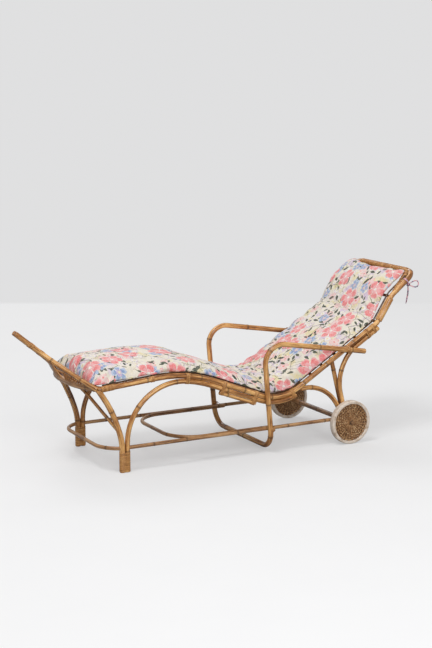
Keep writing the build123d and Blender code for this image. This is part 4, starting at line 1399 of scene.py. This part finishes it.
# Ties: a band round the rail with a knot behind it, a bow loop and two hanging tails
TIE_HALF = 0.0025
TIE_EDGE = 0.0006
TIE_WRAP = 0.010
TIE_WRAP_WIDTH = 0.006
TIE_WRAP_PITCH = 0.0025
KNOT_SHARE = 0.62
TAIL_FRONT = [
    (-0.005, -0.003, -0.006), (-0.005, -0.004, -0.027), (-0.008, -0.005, -0.050), (-0.012, -0.004, -0.072),
    (-0.016, -0.005, -0.096),
]
TAIL_REAR = [
    (0.002, 0.003, -0.006), (0.005, 0.004, -0.028), (0.004, 0.006, -0.050), (-0.001, 0.005, -0.073),
    (-0.007, 0.004, -0.092),
]
LOOP = [
    (0.007, 0, 0.004), (0.024, -0.001, 0.013), (0.041, -0.002, 0.018), (0.052, -0.003, 0.016),
    (0.0595, -0.003, 0.007), (0.0595, -0.004, -0.005), (0.052, -0.004, -0.014), (0.0405, -0.004, -0.016),
    (0.024, -0.003, -0.012), (0.007, -0.001, -0.004),
]
TIE_CORDS = (
    ("tie_tail_front", TAIL_FRONT, 0.091, "bare", "hanging"),
    ("tie_tail_rear", TAIL_REAR, 0.0877, "bare", "hanging"),
    ("tie_loop", LOOP, 0.1285, "object", "loose"),
)
tie_finish = tie_cloth()
tie_place = along(UPPER_CORNER, head_run, TIE_REACH)
knot_reach = (KNOT_SIZE[0] * sin(head_run) + KNOT_SIZE[2] * cos(head_run)) / 2
knot_drop = RAIL / 2 + CLEARANCE + TIE_BAND + knot_reach - KNOT_SINK
knot_place = along(tie_place, head_run, 0, -knot_drop)


def tie_knot(side, side_name):
    """The band round the rail and the folded lump of the knot behind it."""
    bm = new_cane_mesh()
    chance = random.Random(f"knot {side_name}")
    band = straight(tie_place, head_run, TIE_WRAP, side * RAIL_SIDE)
    wind(bm, band, [(0, 0, RAIL / 2 + 2 * CANE_HALF)], chance, TIE_WRAP_WIDTH, TIE_WRAP_PITCH)
    middle = at_side([knot_place], side * RAIL_SIDE)[0]
    lump = bmesh.ops.create_icosphere(bm, subdivisions=4, radius=1)["verts"]
    for vert in lump:
        x, y, z = vert.co
        crease = 1 + 0.12 * sin(5 * atan2(z, x) + 2.5 * y) + 0.08 * noise.noise(vert.co * 2.5)
        size = [half * KNOT_SHARE * crease for half in KNOT_SIZE]
        vert.co = middle + Vector((x * size[0], y * size[1], z * size[2]))
    return finish_piece(f"knotted_tie_{side_name}", bm, tie_finish,
                        nodes=[f"tie_knot_{side_name}"])


def tie_cord(name, points, side, side_name):
    """A narrow cloth strip on one smooth curve."""
    middle = at_side([knot_place], side * RAIL_SIDE)[0]
    curve = bpy.data.curves.new(f"{name}_{side_name}_strip", "CURVE")
    curve.dimensions = "3D"
    curve.extrude = TIE_HALF
    curve.bevel_depth = TIE_EDGE
    curve.bevel_resolution = 2
    curve.use_fill_caps = True
    curve.resolution_u = 12
    spline = curve.splines.new("NURBS")
    spline.points.add(len(points) - 1)
    for point, (x, y, z) in zip(spline.points, points):
        point.co = (*(middle + Vector((x, -side * y, z))), 1)
    spline.order_u = 3
    spline.use_endpoint_u = True
    curve.materials.append(tie_finish)
    strip = bpy.data.objects.new(f"{name}_{side_name}_strip", curve)
    bpy.context.collection.objects.link(strip)
    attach(strip, "frame")
    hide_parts(f"{name}_{side_name}")
    return strip


for side, side_name in SIDE_NAMES.items():
    knot = tie_knot(side, side_name)
    for name, points, length, far_end, lay in TIE_CORDS:
        strip = tie_cord(name, points, side, side_name)

# Floor, light and camera
FLOOR_RADIUS = 14.0
FLOOR_SEGMENTS = 128
FLOOR_END = 4.48
FLOOR_FADE = 0.12
FLOOR_COLOUR = (0.88, 0.88, 0.885)
FLOOR_BOUNCE = (0.40, 0.40, 0.40)
FLOOR_GLOW = (0.88, 0.88, 0.885)
FLOOR_GLOW_SHARE = 0.42
WALL_COLOUR = (0.745, 0.745, 0.75)
CAMERA_PLACE = (-2.6896 - MIDDLE, -6.355, 1.872)
CAMERA_TURN = (radians(80), 0, radians(-27.5))
CAMERA_LENS = 81.7


def studio_floor():
    """A pale floor that ends at the backdrop, square to the camera's view."""

    def build(tree, shader):
        place = object_place(tree)
        view = (-sin(CAMERA_TURN[2]), cos(CAMERA_TURN[2]), 0)
        away = put(tree, "ShaderNodeVectorMath", {0: place, 1: view}, operation="DOT_PRODUCT")
        fade = between(tree, away.outputs["Value"], FLOOR_END - FLOOR_FADE, FLOOR_END)
        mottle = speckle(tree, place, scale=3, detail=2)
        tone = ramp(tree, mottle, (0.3, tuple(c * 0.985 for c in FLOOR_COLOUR)), (0.7, FLOOR_COLOUR))
        seen = put(tree, "ShaderNodeLightPath").outputs["Is Camera Ray"]
        join(tree, shader.inputs["Base Color"], mixed(tree, seen, FLOOR_BOUNCE, tone))
        shader.inputs["Roughness"].default_value = 0.7
        shader.inputs["Specular IOR Level"].default_value = 0.1
        glow = put(tree, "ShaderNodeEmission", {"Color": FLOOR_GLOW})
        wall = put(tree, "ShaderNodeEmission", {"Color": WALL_COLOUR})
        glowing = calc(tree, "MULTIPLY", seen, FLOOR_GLOW_SHARE)
        near = put(tree, "ShaderNodeMixShader", {0: glowing, 1: shader.outputs[0], 2: glow.outputs[0]})
        mix = put(tree, "ShaderNodeMixShader", {0: fade, 1: near.outputs[0], 2: wall.outputs[0]})
        join(tree, tree.nodes["Material Output"].inputs["Surface"], mix.outputs[0])

    return finish_material("studio_floor", build)


bm = bmesh.new()
bmesh.ops.create_circle(bm, cap_ends=True, segments=FLOOR_SEGMENTS, radius=FLOOR_RADIUS)
floor_mesh = bpy.data.meshes.new("studio_floor")
bm.to_mesh(floor_mesh)
bm.free()
floor_mesh.materials.append(studio_floor())
new_mesh_object("studio_floor", floor_mesh)


def softbox(name, place, target, size, power):
    """A large soft lamp turned to a target."""
    lamp = bpy.data.lights.new(name, "AREA")
    lamp.shape = "DISK"
    lamp.size = size
    lamp.energy = power
    made = bpy.data.objects.new(name, lamp)
    made.location = place
    made.rotation_euler = (Vector(target) - Vector(place)).to_track_quat("-Z", "Y").to_euler()
    bpy.context.collection.objects.link(made)


LAMPS = (
    ("key_lamp", (-3.0, -1.8, 7.2), (0.1, 0, 0.4), 3.0, 200),
    ("fill_lamp", (-0.5, -6.0, 3.2), (0.1, 0, 0.4), 3.0, 130),
    ("rim_lamp", (1.0, 6.0, 6.0), (0.1, 0, 0.5), 4.0, 150),
)
for lamp in LAMPS:
    softbox(*lamp)

AMBIENT = 0.45
world = bpy.data.worlds.new("studio")
bpy.context.scene.world = world
world.use_nodes = True
tree = world.node_tree
tree.nodes.clear()
path = put(tree, "ShaderNodeLightPath").outputs
seen = calc(tree, "MAXIMUM", path["Is Camera Ray"], path["Is Transmission Ray"])
light = put(tree, "ShaderNodeBackground", {"Color": (1, 1, 1), "Strength": AMBIENT})
wall = put(tree, "ShaderNodeBackground", {"Color": WALL_COLOUR, "Strength": 1.0})
mix = put(tree, "ShaderNodeMixShader", {0: seen, 1: light.outputs[0], 2: wall.outputs[0]})
put(tree, "ShaderNodeOutputWorld", {"Surface": mix.outputs[0]})

camera = bpy.data.objects.new("photo_camera", bpy.data.cameras.new("photo_camera"))
camera.location = CAMERA_PLACE
camera.rotation_euler = CAMERA_TURN
camera.data.lens = CAMERA_LENS
bpy.context.collection.objects.link(camera)
bpy.context.scene.camera = camera
bpy.context.scene.view_settings.view_transform = "Standard"
